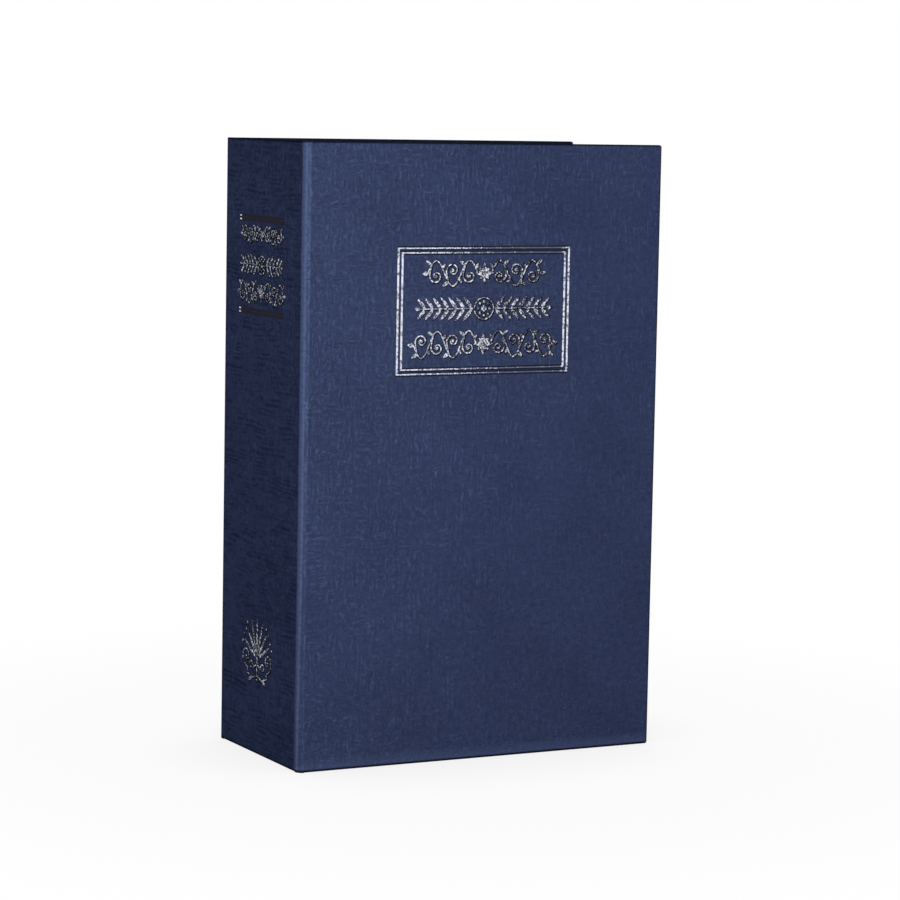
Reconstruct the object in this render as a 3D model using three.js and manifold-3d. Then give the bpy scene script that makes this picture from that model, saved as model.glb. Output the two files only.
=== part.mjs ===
// A small book safe: a steel strongbox with a key-locked lid, set in a moulded frame that looks like
// closed pages, and bound in a cloth-grained paper case like a hardback book.
//
// Millimetres. The book stands on its tail edge. The origin is under the middle of the book, +Z is
// up, the front cover faces -Y, the spine faces -X and the fore edge faces +X.
import * as THREE from "three";
import { mergeVertices } from "three/addons/utils/BufferGeometryUtils.js";
import Module from "manifold-3d";

const wasm = await Module();
wasm.setup();

// The book, outside its covers
const bookHeight = 180;
const bookWidth = 116;
const bookDepth = 56;

// The case: greyboards in a printed wrap, with paper pasted over the turn-ins
const boardThickness = 1.8;
const wrapThickness = 0.3;
const endpaperThickness = 0.15;
const glueLine = 0.05;
const square = 3;
const turnIn = 14;
const jointRadius = 2;
const foldRadius = 0.8;
const jointLining = 5;
const wrappedEdgeRadius = 0.6;
const endpaperMargin = 3;
const turnInGap = 0.2;
const boardSetback = 0.4;
const coverClearance = 0.3;

// The moulded page frame round the steel box
const rimWidth = 8.5;
const frameWall = 1.8;
const pagePitch = 1.25;
const pageGroove = 0.35;
const rimLand = 1.2;
const webThickness = 1.5;
const webCount = 3;
const boxFitGap = 0.4;
const wellFloorGap = 1;

// Sheet steel, box and lid
const sheet = 1;
const boxCornerRadius = 2.2;
const bendRadius = 1.6;
const lidRecess = 3.4;
const lidSideGap = 0.6;
const lidFlangeGap = 0.4;
const lidSeatGap = 0.3;
const lidFlangeDepth = 8;
const lidCornerRadius = 3;
const flangeRelief = 3;
const panelRise = 0.7;
const panelSlope = 1.2;
const panelMargin = 8;
const panelCornerRadius = 4;
const lidOpening = 100;

// The two hinges, rolled from strip
const pinDiameter = 1.8;
const pinClearance = 0.1;
const leafThickness = 0.8;
const leafWidth = 12;
const knuckleLength = 8;
const knuckleGap = 0.3;
const knuckleClearance = 0.3;
const curlAngle = 300;
const hingeEndDistance = 31;
const weldGap = 0.1;
const hingeWallGap = 0.5;
const pinHeadDiameter = 2.8;
const pinHeadThickness = 0.6;

// The wafer cam lock
const bezelDiameter = 18;
const bezelThickness = 1.6;
const bezelRound = 0.6;
const barrelDiameter = 12;
const barrelFlats = 10.4;
const barrelHoleGap = 0.2;
const plugDiameter = 8.4;
const plugClearance = 0.2;
const plugInset = 0.3;
const keywayWidth = 1.6;
const keywayHeight = 6.2;
const waferCount = 5;
const waferThickness = 0.8;
const waferPitch = 1.7;
const waferWidth = 3.6;
const waferHeight = 7;
const waferGap = 0.15;
const waferWindow = 4.4;
const waferSetback = 2.2;
const plugHeel = 2;
const nutAcrossFlats = 15;
const nutThickness = 2.6;
const nutBoreGap = 0.15;
const toothWasherDiameter = 15.6;
const toothWasherThickness = 0.6;
const toothWasherTeeth = 14;
const toothDepth = 0.7;
const lockEdgeDistance = 15;

// The cam on the back of the plug, and the strike it turns under
const tailSquare = 5.4;
const camHoleGap = 0.15;
const camThickness = 1.5;
const camWidth = 9;
const camTipWidth = 7;
const camTipGap = 0.8;
const camWasherDiameter = 7.4;
const camWasherThickness = 0.5;
const screwDiameter = 3;
const screwHeadDiameter = 5.6;
const screwHeadThickness = 1.6;
const screwEngagement = 3;
const screwHoleGap = 0.15;
const screwSlotWidth = 0.8;
const screwSlotDepth = 0.8;
const seatGap = 0.1;
const strikeThickness = 1;
const strikeReach = 7.2;
const strikeHeight = 8;
const strikeLength = 26;
const strikeCamGap = 0.3;

// Facets of round work, and how far a cutter runs past what it cuts
const roundSegments = 32;
const smallSegments = 24;
const bendSegments = 3;
const cornerSegments = 4;
const overrun = 2;

// Places that follow from the sizes: across the book
const spineFace = -bookWidth / 2;
const foreEdge = bookWidth / 2;
const spineInside = spineFace + 2 * wrapThickness + boardThickness + 2 * glueLine;
const blockLeft = spineInside + glueLine;
const blockRight = foreEdge - square;
const mouthLeft = blockLeft + rimWidth;
const mouthRight = blockRight - rimWidth;
const coverSkinLeft = spineFace + jointRadius + glueLine;
const coverBoardLeft = coverSkinLeft + boardSetback;
const liningRight = coverBoardLeft + jointLining;
const turnInRight = foreEdge - turnIn;

// through the book, from the front cover to the back cover
const frontFace = -bookDepth / 2;
const backFace = bookDepth / 2;
const coverThickness = 2 * wrapThickness + boardThickness + endpaperThickness + 3 * glueLine;
const rimFace = frontFace + coverThickness + coverClearance;
const blockBack = backFace - coverThickness - glueLine;
const lidFace = rimFace + lidRecess;
const lidUnder = lidFace + sheet;
const knuckleRadius = pinDiameter / 2 + pinClearance + leafThickness;
const hingeY = lidUnder + weldGap + knuckleRadius;
const boxFront = lidUnder + lidSeatGap;
const wellFloor = hingeY + leafWidth + wellFloorGap;
const rebateFloor = lidFace + lidFlangeDepth + wellFloorGap;

// and up the book
const blockBottom = square;
const blockTop = bookHeight - square;
const mouthBottom = blockBottom + rimWidth;
const mouthTop = blockTop - rimWidth;
const lidBottom = mouthBottom + lidSideGap;
const lidTop = mouthTop - lidSideGap;
const boxBottom = lidBottom + sheet + lidFlangeGap;
const boxTop = lidTop - sheet - lidFlangeGap;
const lockHeight = bookHeight / 2;

// The lid's hinge stands off the rim by what the lid needs to lean back past upright
const leanBack = THREE.MathUtils.degToRad(lidOpening - 90);
const lidSwing = (hingeY - lidFace) / Math.cos(leanBack) + (hingeY - rimFace) * Math.tan(leanBack);
const hingeX = mouthLeft + lidSwing + hingeWallGap;
const boxLeft = hingeX + knuckleRadius + weldGap;
const lidRight = mouthRight - lidSideGap;
const boxRight = lidRight - sheet - lidFlangeGap;

// The lock's stations along its own axis
const lockX = boxRight - lockEdgeDistance;
const bezelBack = lidFace - seatGap;
const bezelFront = bezelBack - bezelThickness;
const plugFront = bezelFront + plugInset;
const waferStart = plugFront + waferSetback;
const keywayEnd = waferStart + waferCount * waferPitch;
const barrelEnd = keywayEnd + plugHeel;
const camFront = barrelEnd + seatGap;
const camBack = camFront + camThickness;
const tailEnd = camBack - seatGap;
const camWasherFront = camBack + seatGap;
const screwHeadFront = camWasherFront + camWasherThickness + seatGap;
const screwTip = tailEnd - screwEngagement;
const strikeBack = camFront - strikeCamGap;

// A closed three.js geometry as a solid that can be cut and joined.
function solid(geometry) {
  const bare = geometry.clone();
  bare.deleteAttribute("normal");
  bare.deleteAttribute("uv");
  const merged = mergeVertices(bare, wrapThickness / 1e4);
  const vertices = merged.attributes.position.array;
  const faces = Array.from(merged.index.array);
  const kept = [];
  for (let i = 0; i < faces.length; i += 3) {
    const [a, b, c] = faces.slice(i, i + 3);
    if (a !== b && b !== c && c !== a) kept.push(a, b, c);
  }
  const mesh = { numProp: 3, vertProperties: vertices, triVerts: new Uint32Array(kept) };
  return new wasm.Manifold(new wasm.Mesh(mesh));
}

// The way back, from a solid to a three.js geometry.
function geometryOf(manifold) {
  const mesh = manifold.getMesh();
  const geometry = new THREE.BufferGeometry();
  geometry.setAttribute("position", new THREE.BufferAttribute(mesh.vertProperties, 3));
  geometry.setIndex(new THREE.BufferAttribute(mesh.triVerts, 1));
  geometry.computeVertexNormals();
  return geometry;
}

// A block between two corners, each given as x, y and z.
function block(low, high) {
  const size = high.map((value, i) => value - low[i]);
  const geometry = new THREE.BoxGeometry(...size);
  geometry.translate(...low.map((value, i) => value + size[i] / 2));
  return solid(geometry);
}

// A shape drawn looking down Z, in x and y, raised from one height to another.
function raised(shape, bottom, top, segments = roundSegments) {
  const options = { depth: top - bottom, bevelEnabled: false, curveSegments: segments };
  const geometry = new THREE.ExtrudeGeometry(shape, options);
  geometry.translate(0, 0, bottom);
  return solid(geometry);
}

// A shape drawn from the front, in x and z, running from a front y to a back y.
function throughDepth(shape, front, back, segments = roundSegments) {
  const options = { depth: back - front, bevelEnabled: false, curveSegments: segments };
  const geometry = new THREE.ExtrudeGeometry(shape, options);
  geometry.rotateX(Math.PI / 2);
  geometry.translate(0, back, 0);
  return solid(geometry);
}

// A shape drawn from the fore edge, in y and z, running from a left x to a right x.
function acrossWidth(shape, left, right, segments = roundSegments) {
  const options = { depth: right - left, bevelEnabled: false, curveSegments: segments };
  const geometry = new THREE.ExtrudeGeometry(shape, options);
  const turned = new THREE.Matrix4().makeBasis(
    new THREE.Vector3(0, 1, 0),
    new THREE.Vector3(0, 0, 1),
    new THREE.Vector3(1, 0, 0),
  );
  geometry.applyMatrix4(turned);
  geometry.translate(left, 0, 0);
  return solid(geometry);
}

// A profile of [radius, y] points turned about the line through x and z that runs front to back.
function turnedAlongY(profile, x, z, segments = roundSegments) {
  const points = profile.map(([radius, y]) => new THREE.Vector2(radius, y));
  const geometry = new THREE.LatheGeometry(points, segments);
  geometry.translate(x, 0, z);
  return solid(geometry);
}

// A plain cylinder about that line.
function rodAlongY(radius, front, back, x, z, segments = roundSegments) {
  return turnedAlongY([[0, front], [radius, front], [radius, back], [0, back]], x, z, segments);
}

// A rectangle in a plane, its corners rounded where a radius is given, from its lower left corner
// round: lower left, lower right, upper right, upper left.
function rectangle(a0, b0, a1, b1, radii = [0, 0, 0, 0]) {
  const [r0, r1, r2, r3] = radii;
  const shape = new THREE.Shape();
  shape.moveTo(a0 + r0, b0);
  shape.lineTo(a1 - r1, b0);
  if (r1) shape.absarc(a1 - r1, b0 + r1, r1, -Math.PI / 2, 0);
  shape.lineTo(a1, b1 - r2);
  if (r2) shape.absarc(a1 - r2, b1 - r2, r2, 0, Math.PI / 2);
  shape.lineTo(a0 + r3, b1);
  if (r3) shape.absarc(a0 + r3, b1 - r3, r3, Math.PI / 2, Math.PI);
  shape.lineTo(a0, b0 + r0);
  if (r0) shape.absarc(a0 + r0, b0 + r0, r0, Math.PI, 1.5 * Math.PI);
  return shape;
}

// The points of a rounded rectangle in x and z at one depth, moved in from its outline by inset.
function roundedLoop({ left, right, bottom, top, corner }, inset, y) {
  const radius = Math.max(corner - inset, corner / 8);
  const centres = [
    [right - inset - radius, top - inset - radius],
    [left + inset + radius, top - inset - radius],
    [left + inset + radius, bottom + inset + radius],
    [right - inset - radius, bottom + inset + radius],
  ];
  const loop = [];
  centres.forEach(([x, z], quarter) => {
    for (let i = 0; i <= cornerSegments; i++) {
      const angle = (quarter + i / cornerSegments) * (Math.PI / 2);
      loop.push([x + radius * Math.cos(angle), y, z + radius * Math.sin(angle)]);
    }
  });
  return loop;
}

// A solid skinned over loops of points that lie one behind another, front to back.
function skinned(loops) {
  const count = loops[0].length;
  const positions = loops.flat(2);
  const indices = [];
  for (let k = 0; k + 1 < loops.length; k++) {
    for (let i = 0; i < count; i++) {
      const next = (i + 1) % count;
      const [a, b] = [k * count + i, k * count + next];
      const [c, d] = [a + count, b + count];
      indices.push(a, d, b, a, c, d);
    }
  }
  const last = (loops.length - 1) * count;
  for (let i = 1; i + 1 < count; i++) {
    indices.push(0, i, i + 1);
    indices.push(last, last + i + 1, last + i);
  }
  const geometry = new THREE.BufferGeometry();
  geometry.setAttribute("position", new THREE.Float32BufferAttribute(positions, 3));
  geometry.setIndex(indices);
  return solid(geometry);
}

// A block with rounded corners whose edge round one face is bent over at a radius. The bent face
// is at bentY, and the open one at openY, in front of it or behind it.
function bentBlock(outline, bentY, openY, bend) {
  const away = Math.sign(openY - bentY);
  const loops = [];
  for (let i = 0; i <= bendSegments; i++) {
    const angle = (i / bendSegments) * (Math.PI / 2);
    const y = bentY + away * bend * (1 - Math.sin(angle));
    loops.push(roundedLoop(outline, bend * (1 - Math.cos(angle)), y));
  }
  loops.push(roundedLoop(outline, 0, openY));
  loops.splice(0, bendSegments + 1, ...loops.slice(0, bendSegments + 1).reverse());
  return skinned(away > 0 ? loops : loops.reverse());
}

// A pan pressed from sheet: its floor's outer face at floorY, its rim at rimY.
function pressedPan(outline, floorY, rimY) {
  const away = Math.sign(rimY - floorY);
  const inner = {
    left: outline.left + sheet,
    right: outline.right - sheet,
    bottom: outline.bottom + sheet,
    top: outline.top - sheet,
    corner: outline.corner - sheet,
  };
  const outside = bentBlock(outline, floorY, rimY, bendRadius);
  const inside = bentBlock(inner, floorY + away * sheet, rimY + away * overrun, bendRadius - sheet);
  return outside.subtract(inside);
}

const materials = {
  wrap: { color: 0x2f3b5e, roughness: 0.62, metalness: 0 },
  greyboard: { color: 0x8d8778, roughness: 0.95, metalness: 0 },
  endpaper: { color: 0xe9e4d6, roughness: 0.9, metalness: 0 },
  pages: { color: 0xece4cd, roughness: 0.7, metalness: 0 },
  blackSteel: { color: 0x17181a, roughness: 0.5, metalness: 0.4 },
  zinc: { color: 0xb9bbbd, roughness: 0.35, metalness: 0.9 },
  chrome: { color: 0xd9dbde, roughness: 0.12, metalness: 1 },
  brass: { color: 0xc2a25a, roughness: 0.3, metalness: 1 },
};
const bookSafe = new THREE.Group();
bookSafe.name = "book_safe";

// Each piece of the object is one named mesh.
function addPiece(name, manifold, finish) {
  const material = new THREE.MeshStandardMaterial(materials[finish]);
  const mesh = new THREE.Mesh(geometryOf(manifold), material);
  mesh.name = name;
  bookSafe.add(mesh);
}

// A cover board, seen as a slab whose outer face is at outerY; inward is +1 for the front cover.
function coverBoard(outerY, inward) {
  const near = outerY + inward * (wrapThickness + glueLine);
  const far = near + inward * boardThickness;
  const low = [coverBoardLeft, Math.min(near, far), wrapThickness + glueLine];
  const high = [foreEdge - wrapThickness - glueLine, Math.max(near, far),
    bookHeight - wrapThickness - glueLine];
  return block(low, high);
}

// The printed wrap on a cover: one skin over the outside, folded round head, tail and fore edge,
// and turned in over the board's inner face, where a strip of it lines the joint's side as well.
function coverWrap(outerY, inward) {
  const depth = 2 * wrapThickness + boardThickness + 2 * glueLine;
  const innerY = outerY + inward * depth;
  const [front, back] = [Math.min(outerY, innerY), Math.max(outerY, innerY)];
  const r = wrappedEdgeRadius;
  const plan = raised(
    rectangle(coverSkinLeft, front, foreEdge, back, [0, r, r, 0]), 0, bookHeight, bendSegments);
  const side = acrossWidth(
    rectangle(front, 0, back, bookHeight, [r, r, r, r]), coverSkinLeft, foreEdge, bendSegments);
  const pocketStart = outerY + inward * wrapThickness;
  const pocketEnd = innerY - inward * wrapThickness;
  const pocket = block(
    [coverSkinLeft - overrun, Math.min(pocketStart, pocketEnd), wrapThickness],
    [foreEdge - wrapThickness, Math.max(pocketStart, pocketEnd), bookHeight - wrapThickness]);
  const pastInner = innerY + inward * overrun;
  const window = block(
    [liningRight, Math.min(pocketStart, pastInner), turnIn],
    [turnInRight, Math.max(pocketStart, pastInner), bookHeight - turnIn]);
  const jointSide = block(
    [coverSkinLeft - overrun, Math.min(pocketStart, pastInner), -overrun],
    [coverBoardLeft, Math.max(pocketStart, pastInner), bookHeight + overrun]);
  return plan.intersect(side).subtract(pocket).subtract(window).subtract(jointSide);
}

// Paper pasted over the turn-ins and, a step lower, onto the board inside them.
function endpaper(outerY, inward, left) {
  const face = outerY + inward * coverThickness;
  const back = face - inward * endpaperThickness;
  const onBoard = outerY + inward * (wrapThickness + boardThickness + 2 * glueLine);
  const sunkFace = onBoard + inward * endpaperThickness;
  const slab = (from, to, start, inset) => block(
    [start, Math.min(from, to), inset],
    [foreEdge - inset, Math.max(from, to), bookHeight - inset]);
  const stepLeft = liningRight + turnInGap;
  const step = turnIn + turnInGap;
  const sunk = slab(
    sunkFace, face + inward * overrun, stepLeft + endpaperThickness, step + endpaperThickness);
  return slab(back, face, left, endpaperMargin)
    .add(slab(onBoard, face, stepLeft, step))
    .subtract(sunk);
}

function frontCover() {
  addPiece("front_cover_board", coverBoard(frontFace, 1), "greyboard");
  addPiece("front_cover_wrap", coverWrap(frontFace, 1), "wrap");
  addPiece("front_endpaper", endpaper(frontFace, 1, coverBoardLeft + endpaperMargin), "endpaper");
}

function backCover() {
  addPiece("back_cover_board", coverBoard(backFace, -1), "greyboard");
  addPiece("back_cover_wrap", coverWrap(backFace, -1), "wrap");
  addPiece("back_endpaper", endpaper(backFace, -1, coverBoardLeft), "endpaper");
}

// A quarter ring in plan about the front joint's centre.
function quarterRing(outer, inner) {
  const [centreX, centreY] = [spineFace + jointRadius, frontFace + jointRadius];
  const shape = new THREE.Shape();
  shape.absarc(centreX, centreY, outer, Math.PI, 1.5 * Math.PI, false);
  shape.absarc(centreX, centreY, inner, 1.5 * Math.PI, Math.PI, true);
  return shape;
}

// The wrap round the front joint, which folds when the cover opens: one layer, and a second one
// inside where it is turned in.
function frontHingeStrip() {
  const oneLayer = jointRadius - wrapThickness;
  const turnedIn = oneLayer - glueLine - wrapThickness;
  const single = quarterRing(jointRadius, oneLayer);
  const double = quarterRing(jointRadius, turnedIn);
  const facets = 2 * bendSegments;
  const skin = raised(single, 0, bookHeight, facets)
    .add(raised(double, 0, turnIn, facets))
    .add(raised(double, bookHeight - turnIn, bookHeight, facets));
  const centreY = frontFace + jointRadius;
  const trimmed = skin.subtract(block(
    [spineFace, centreY - glueLine, 0],
    [spineFace + jointRadius, centreY + glueLine, bookHeight]));
  addPiece("front_hinge_strip", trimmed, "wrap");
}

// The spine's board and its wrap, which is folded tight round the board to meet the back cover's,
// because that joint stays shut, and is turned in at head and tail.
function spine() {
  const front = frontFace + jointRadius;
  const boardBack = backFace - wrapThickness - glueLine;
  const boardLeft = spineFace + wrapThickness + glueLine;
  const boardCorner = foldRadius - wrapThickness - glueLine;
  const board = raised(
    rectangle(boardLeft, front, boardLeft + boardThickness, boardBack, [0, 0, 0, boardCorner]),
    wrapThickness + glueLine, bookHeight - wrapThickness - glueLine, bendSegments);
  addPiece("spine_board", board, "greyboard");

  const skinRight = spineFace + jointRadius;
  const lining = spineInside - wrapThickness;
  const outside = rectangle(spineFace, front, skinRight, backFace, [0, 0, 0, foldRadius]);
  const inside = rectangle(
    spineFace + wrapThickness, front - overrun, skinRight + overrun, backFace - wrapThickness,
    [0, 0, 0, foldRadius - wrapThickness]);
  let wrap = raised(outside, 0, bookHeight, bendSegments)
    .subtract(raised(inside, -overrun, bookHeight + overrun, bendSegments));
  const ends = [
    { fold: [0, wrapThickness], turn: [0, turnIn] },
    { fold: [bookHeight - wrapThickness, bookHeight], turn: [bookHeight - turnIn, bookHeight] },
  ];
  for (const { fold, turn } of ends) {
    wrap = wrap
      .add(raised(outside, ...fold, bendSegments))
      .add(block([skinRight, front, fold[0]], [lining, boardBack, fold[1]]))
      .add(block([lining - glueLine, rimFace, fold[0]], [spineInside, blockBack, fold[1]]))
      .add(block([lining, rimFace, turn[0]], [spineInside, blockBack, turn[1]]));
  }
  addPiece("spine_wrap", wrap, "wrap");
}

// The moulded frame: its head, tail and fore edge are grooved like page edges, and it is hollow
// from behind, with webs between its outer and inner walls.
function pageFrame() {
  const grooves = Math.floor((blockBack - rimFace - 2 * rimLand) / pagePitch);
  const start = rimFace + rimLand;
  const loopAt = (inset, y) => [
    [blockRight - inset, y, blockTop - inset],
    [blockLeft, y, blockTop - inset],
    [blockLeft, y, blockBottom + inset],
    [blockRight - inset, y, blockBottom + inset],
  ];
  const loops = [loopAt(0, rimFace), loopAt(0, start)];
  for (let i = 0; i < grooves; i++) {
    loops.push(loopAt(pageGroove, start + (i + 0.5) * pagePitch));
    loops.push(loopAt(0, start + (i + 1) * pagePitch));
  }
  loops.push(loopAt(0, blockBack));
  const outside = skinned(loops);

  const spaces = (grow) => {
    const mouth = block(
      [mouthLeft - grow, rimFace - overrun, mouthBottom - grow],
      [mouthRight + grow, rebateFloor + grow, mouthTop + grow]);
    const well = block(
      [mouthLeft - grow, rimFace - overrun, mouthBottom - grow],
      [boxLeft + grow, wellFloor + grow, mouthTop + grow]);
    const seat = block(
      [boxLeft - boxFitGap - grow, rimFace - overrun, boxBottom - boxFitGap - grow],
      [boxRight + boxFitGap + grow, blockBack + overrun, boxTop + boxFitGap + grow]);
    return mouth.add(well).add(seat);
  };
  const core = block(
    [blockLeft + frameWall, rimFace + frameWall, blockBottom + frameWall],
    [blockRight - frameWall, blockBack + overrun, blockTop - frameWall]);
  let hollow = core.subtract(spaces(frameWall));
  for (let i = 0; i < webCount; i++) {
    const z = blockBottom + ((i + 1) / (webCount + 1)) * (blockTop - blockBottom);
    const x = blockLeft + ((i + 1) / (webCount + 1)) * (blockRight - blockLeft);
    hollow = hollow.subtract(block(
      [blockLeft, rimFace, z - webThickness / 2],
      [blockRight, blockBack + overrun, z + webThickness / 2]));
    hollow = hollow.subtract(block(
      [x - webThickness / 2, rimFace, blockBottom],
      [x + webThickness / 2, blockBack + overrun, blockTop]));
  }
  addPiece("page_frame", outside.subtract(spaces(0)).subtract(hollow), "pages");
}

// Where the two hinges start, from the tail up.
const hingeLength = 3 * knuckleLength + 2 * knuckleGap;
const hingeStarts = {
  lower: boxBottom + hingeEndDistance - hingeLength / 2,
  upper: boxTop - hingeEndDistance - hingeLength / 2,
};

// The strongbox, notched where the lid's hinge leaves pass over its wall.
function safeBox() {
  const outline = {
    left: boxLeft, right: boxRight, bottom: boxBottom, top: boxTop, corner: boxCornerRadius,
  };
  let box = pressedPan(outline, blockBack, boxFront);
  for (const start of Object.values(hingeStarts)) {
    box = box.subtract(block(
      [boxLeft - overrun, boxFront - overrun, start - knuckleClearance],
      [boxLeft + sheet + overrun, lidUnder + weldGap + leafThickness + lidSeatGap,
        start + hingeLength + knuckleClearance]));
  }
  addPiece("safe_box", box, "blackSteel");
}

// A hinge leaf's outline about its pin: a strip that curls round the pin.
function leafShape() {
  const curl = THREE.MathUtils.degToRad(curlAngle);
  const inner = knuckleRadius - leafThickness;
  const shape = new THREE.Shape();
  shape.moveTo(knuckleRadius, leafWidth);
  shape.lineTo(knuckleRadius, 0);
  shape.absarc(0, 0, knuckleRadius, 0, -curl, true);
  shape.absarc(0, 0, inner, -curl, 0, false);
  shape.lineTo(inner, leafWidth);
  return shape;
}

// One leaf, with its knuckles at the places given, and its strip notched at the others.
function hingeLeaf(start, places) {
  const notch = knuckleRadius + knuckleClearance;
  let leaf = block(
    [knuckleRadius - leafThickness, notch, start],
    [knuckleRadius, leafWidth, start + hingeLength]);
  for (const place of places) {
    const bottom = start + place * (knuckleLength + knuckleGap);
    leaf = leaf.add(raised(leafShape(), bottom, bottom + knuckleLength, smallSegments));
  }
  return leaf;
}

function hinges() {
  for (const [name, start] of Object.entries(hingeStarts)) {
    const boxLeaf = hingeLeaf(start, [0, 2]).translate([hingeX, hingeY, 0]);
    const lidLeaf = hingeLeaf(start, [1]).rotate([0, 0, -90]).translate([hingeX, hingeY, 0]);
    addPiece(`box_hinge_leaf_${name}`, boxLeaf, "blackSteel");
    addPiece(`lid_hinge_leaf_${name}`, lidLeaf, "blackSteel");

    const [bottom, top] = [start - weldGap, start + hingeLength + weldGap];
    const [radius, head] = [pinDiameter / 2, pinHeadDiameter / 2];
    const profile = [
      [0, bottom - pinHeadThickness], [head, bottom - pinHeadThickness], [head, bottom],
      [radius, bottom], [radius, top], [head, top], [head, top + pinHeadThickness],
      [0, top + pinHeadThickness],
    ];
    const points = profile.map(([r, height]) => new THREE.Vector2(r, height));
    const geometry = new THREE.LatheGeometry(points, smallSegments);
    geometry.rotateX(Math.PI / 2);
    geometry.translate(hingeX, hingeY, 0);
    addPiece(`hinge_pin_${name}`, solid(geometry), "zinc");
  }
}

// A round rod with two flats, as the lock's barrel and its hole in the lid are.
function flattedRod(radius, acrossFlats, front, back) {
  const rod = rodAlongY(radius, front, back, lockX, lockHeight);
  const flats = block(
    [lockX - acrossFlats / 2, front, lockHeight - radius],
    [lockX + acrossFlats / 2, back, lockHeight + radius]);
  return rod.intersect(flats);
}

// The lid: a shallow pan with flanges on three sides, a raised panel, and the lock's hole.
function safeLid() {
  const outline = {
    left: hingeX - lidFlangeDepth, right: lidRight, bottom: lidBottom, top: lidTop,
    corner: lidCornerRadius,
  };
  let lid = pressedPan(outline, lidFace, lidFace + lidFlangeDepth);
  lid = lid.subtract(block(
    [outline.left - overrun, lidFace - overrun, lidBottom - overrun],
    [hingeX, lidFace + lidFlangeDepth + overrun, lidTop + overrun]));
  lid = lid.subtract(block(
    [hingeX - overrun, lidFace + bendRadius, lidBottom - overrun],
    [hingeX + flangeRelief, lidFace + lidFlangeDepth + overrun, lidTop + overrun]));

  const panel = {
    left: hingeX + leafWidth + panelMargin / 2, right: lockX - bezelDiameter / 2 - panelMargin / 2,
    bottom: lidBottom + panelMargin, top: lidTop - panelMargin, corner: panelCornerRadius,
  };
  const wallInset = sheet / 2;
  const raisedPanel = skinned([
    roundedLoop(panel, panelSlope, lidFace - panelRise), roundedLoop(panel, 0, lidFace),
    roundedLoop(panel, 0, lidUnder)]);
  const sunkPanel = skinned([
    roundedLoop(panel, panelSlope + wallInset, lidUnder - panelRise),
    roundedLoop(panel, wallInset, lidUnder), roundedLoop(panel, wallInset, lidUnder + overrun)]);
  lid = lid.add(raisedPanel).subtract(sunkPanel);
  const hole = flattedRod(
    barrelDiameter / 2 + barrelHoleGap, barrelFlats + 2 * barrelHoleGap,
    lidFace - overrun, lidUnder + overrun);
  addPiece("safe_lid", lid.subtract(hole), "blackSteel");
}

// The lock's housing, a flanged barrel with two flats, clamped through the lid by its nut.
function lockHousing() {
  const [bezel, barrel] = [bezelDiameter / 2, barrelDiameter / 2];
  const bore = plugDiameter / 2 + plugClearance;
  const flange = turnedAlongY([
    [bore, bezelFront], [bezel - bezelRound, bezelFront], [bezel, bezelFront + bezelRound],
    [bezel, bezelBack], [bore, bezelBack], [bore, bezelFront]], lockX, lockHeight);
  const tube = flattedRod(barrel, barrelFlats, bezelFront + bezelRound, barrelEnd)
    .subtract(rodAlongY(bore, bezelFront - overrun, barrelEnd + overrun, lockX, lockHeight));
  addPiece("lock_housing", flange.add(tube), "chrome");

  const washerFront = lidUnder + seatGap;
  const washerBack = washerFront + toothWasherThickness;
  const washerShape = new THREE.Shape();
  washerShape.absarc(lockX, lockHeight, toothWasherDiameter / 2, 0, 2 * Math.PI);
  const toothed = new THREE.Path();
  const toothPoints = [];
  for (let i = 0; i < 2 * toothWasherTeeth; i++) {
    const reach = barrel + barrelHoleGap + (i % 2) * toothDepth;
    const angle = (i * Math.PI) / toothWasherTeeth;
    toothPoints.push(new THREE.Vector2(
      lockX + reach * Math.cos(angle), lockHeight + reach * Math.sin(angle)));
  }
  toothed.setFromPoints(toothPoints);
  washerShape.holes.push(toothed);
  addPiece("lock_washer", throughDepth(washerShape, washerFront, washerBack), "zinc");

  const nutFront = washerBack + seatGap;
  const nutBack = nutFront + nutThickness;
  const corner = nutAcrossFlats / 2 / Math.cos(Math.PI / 6);
  const hexagon = rodAlongY(corner, nutFront, nutBack, lockX, lockHeight, 6);
  const chamfer = corner - nutAcrossFlats / 2;
  const rounded = turnedAlongY([
    [0, nutFront], [nutAcrossFlats / 2, nutFront], [corner, nutFront + chamfer / 2],
    [corner, nutBack - chamfer / 2], [nutAcrossFlats / 2, nutBack], [0, nutBack]],
  lockX, lockHeight);
  const nutBore = rodAlongY(
    barrel + nutBoreGap, nutFront - overrun, nutBack + overrun, lockX, lockHeight);
  addPiece("lock_nut", hexagon.intersect(rounded).subtract(nutBore), "zinc");
}

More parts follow.
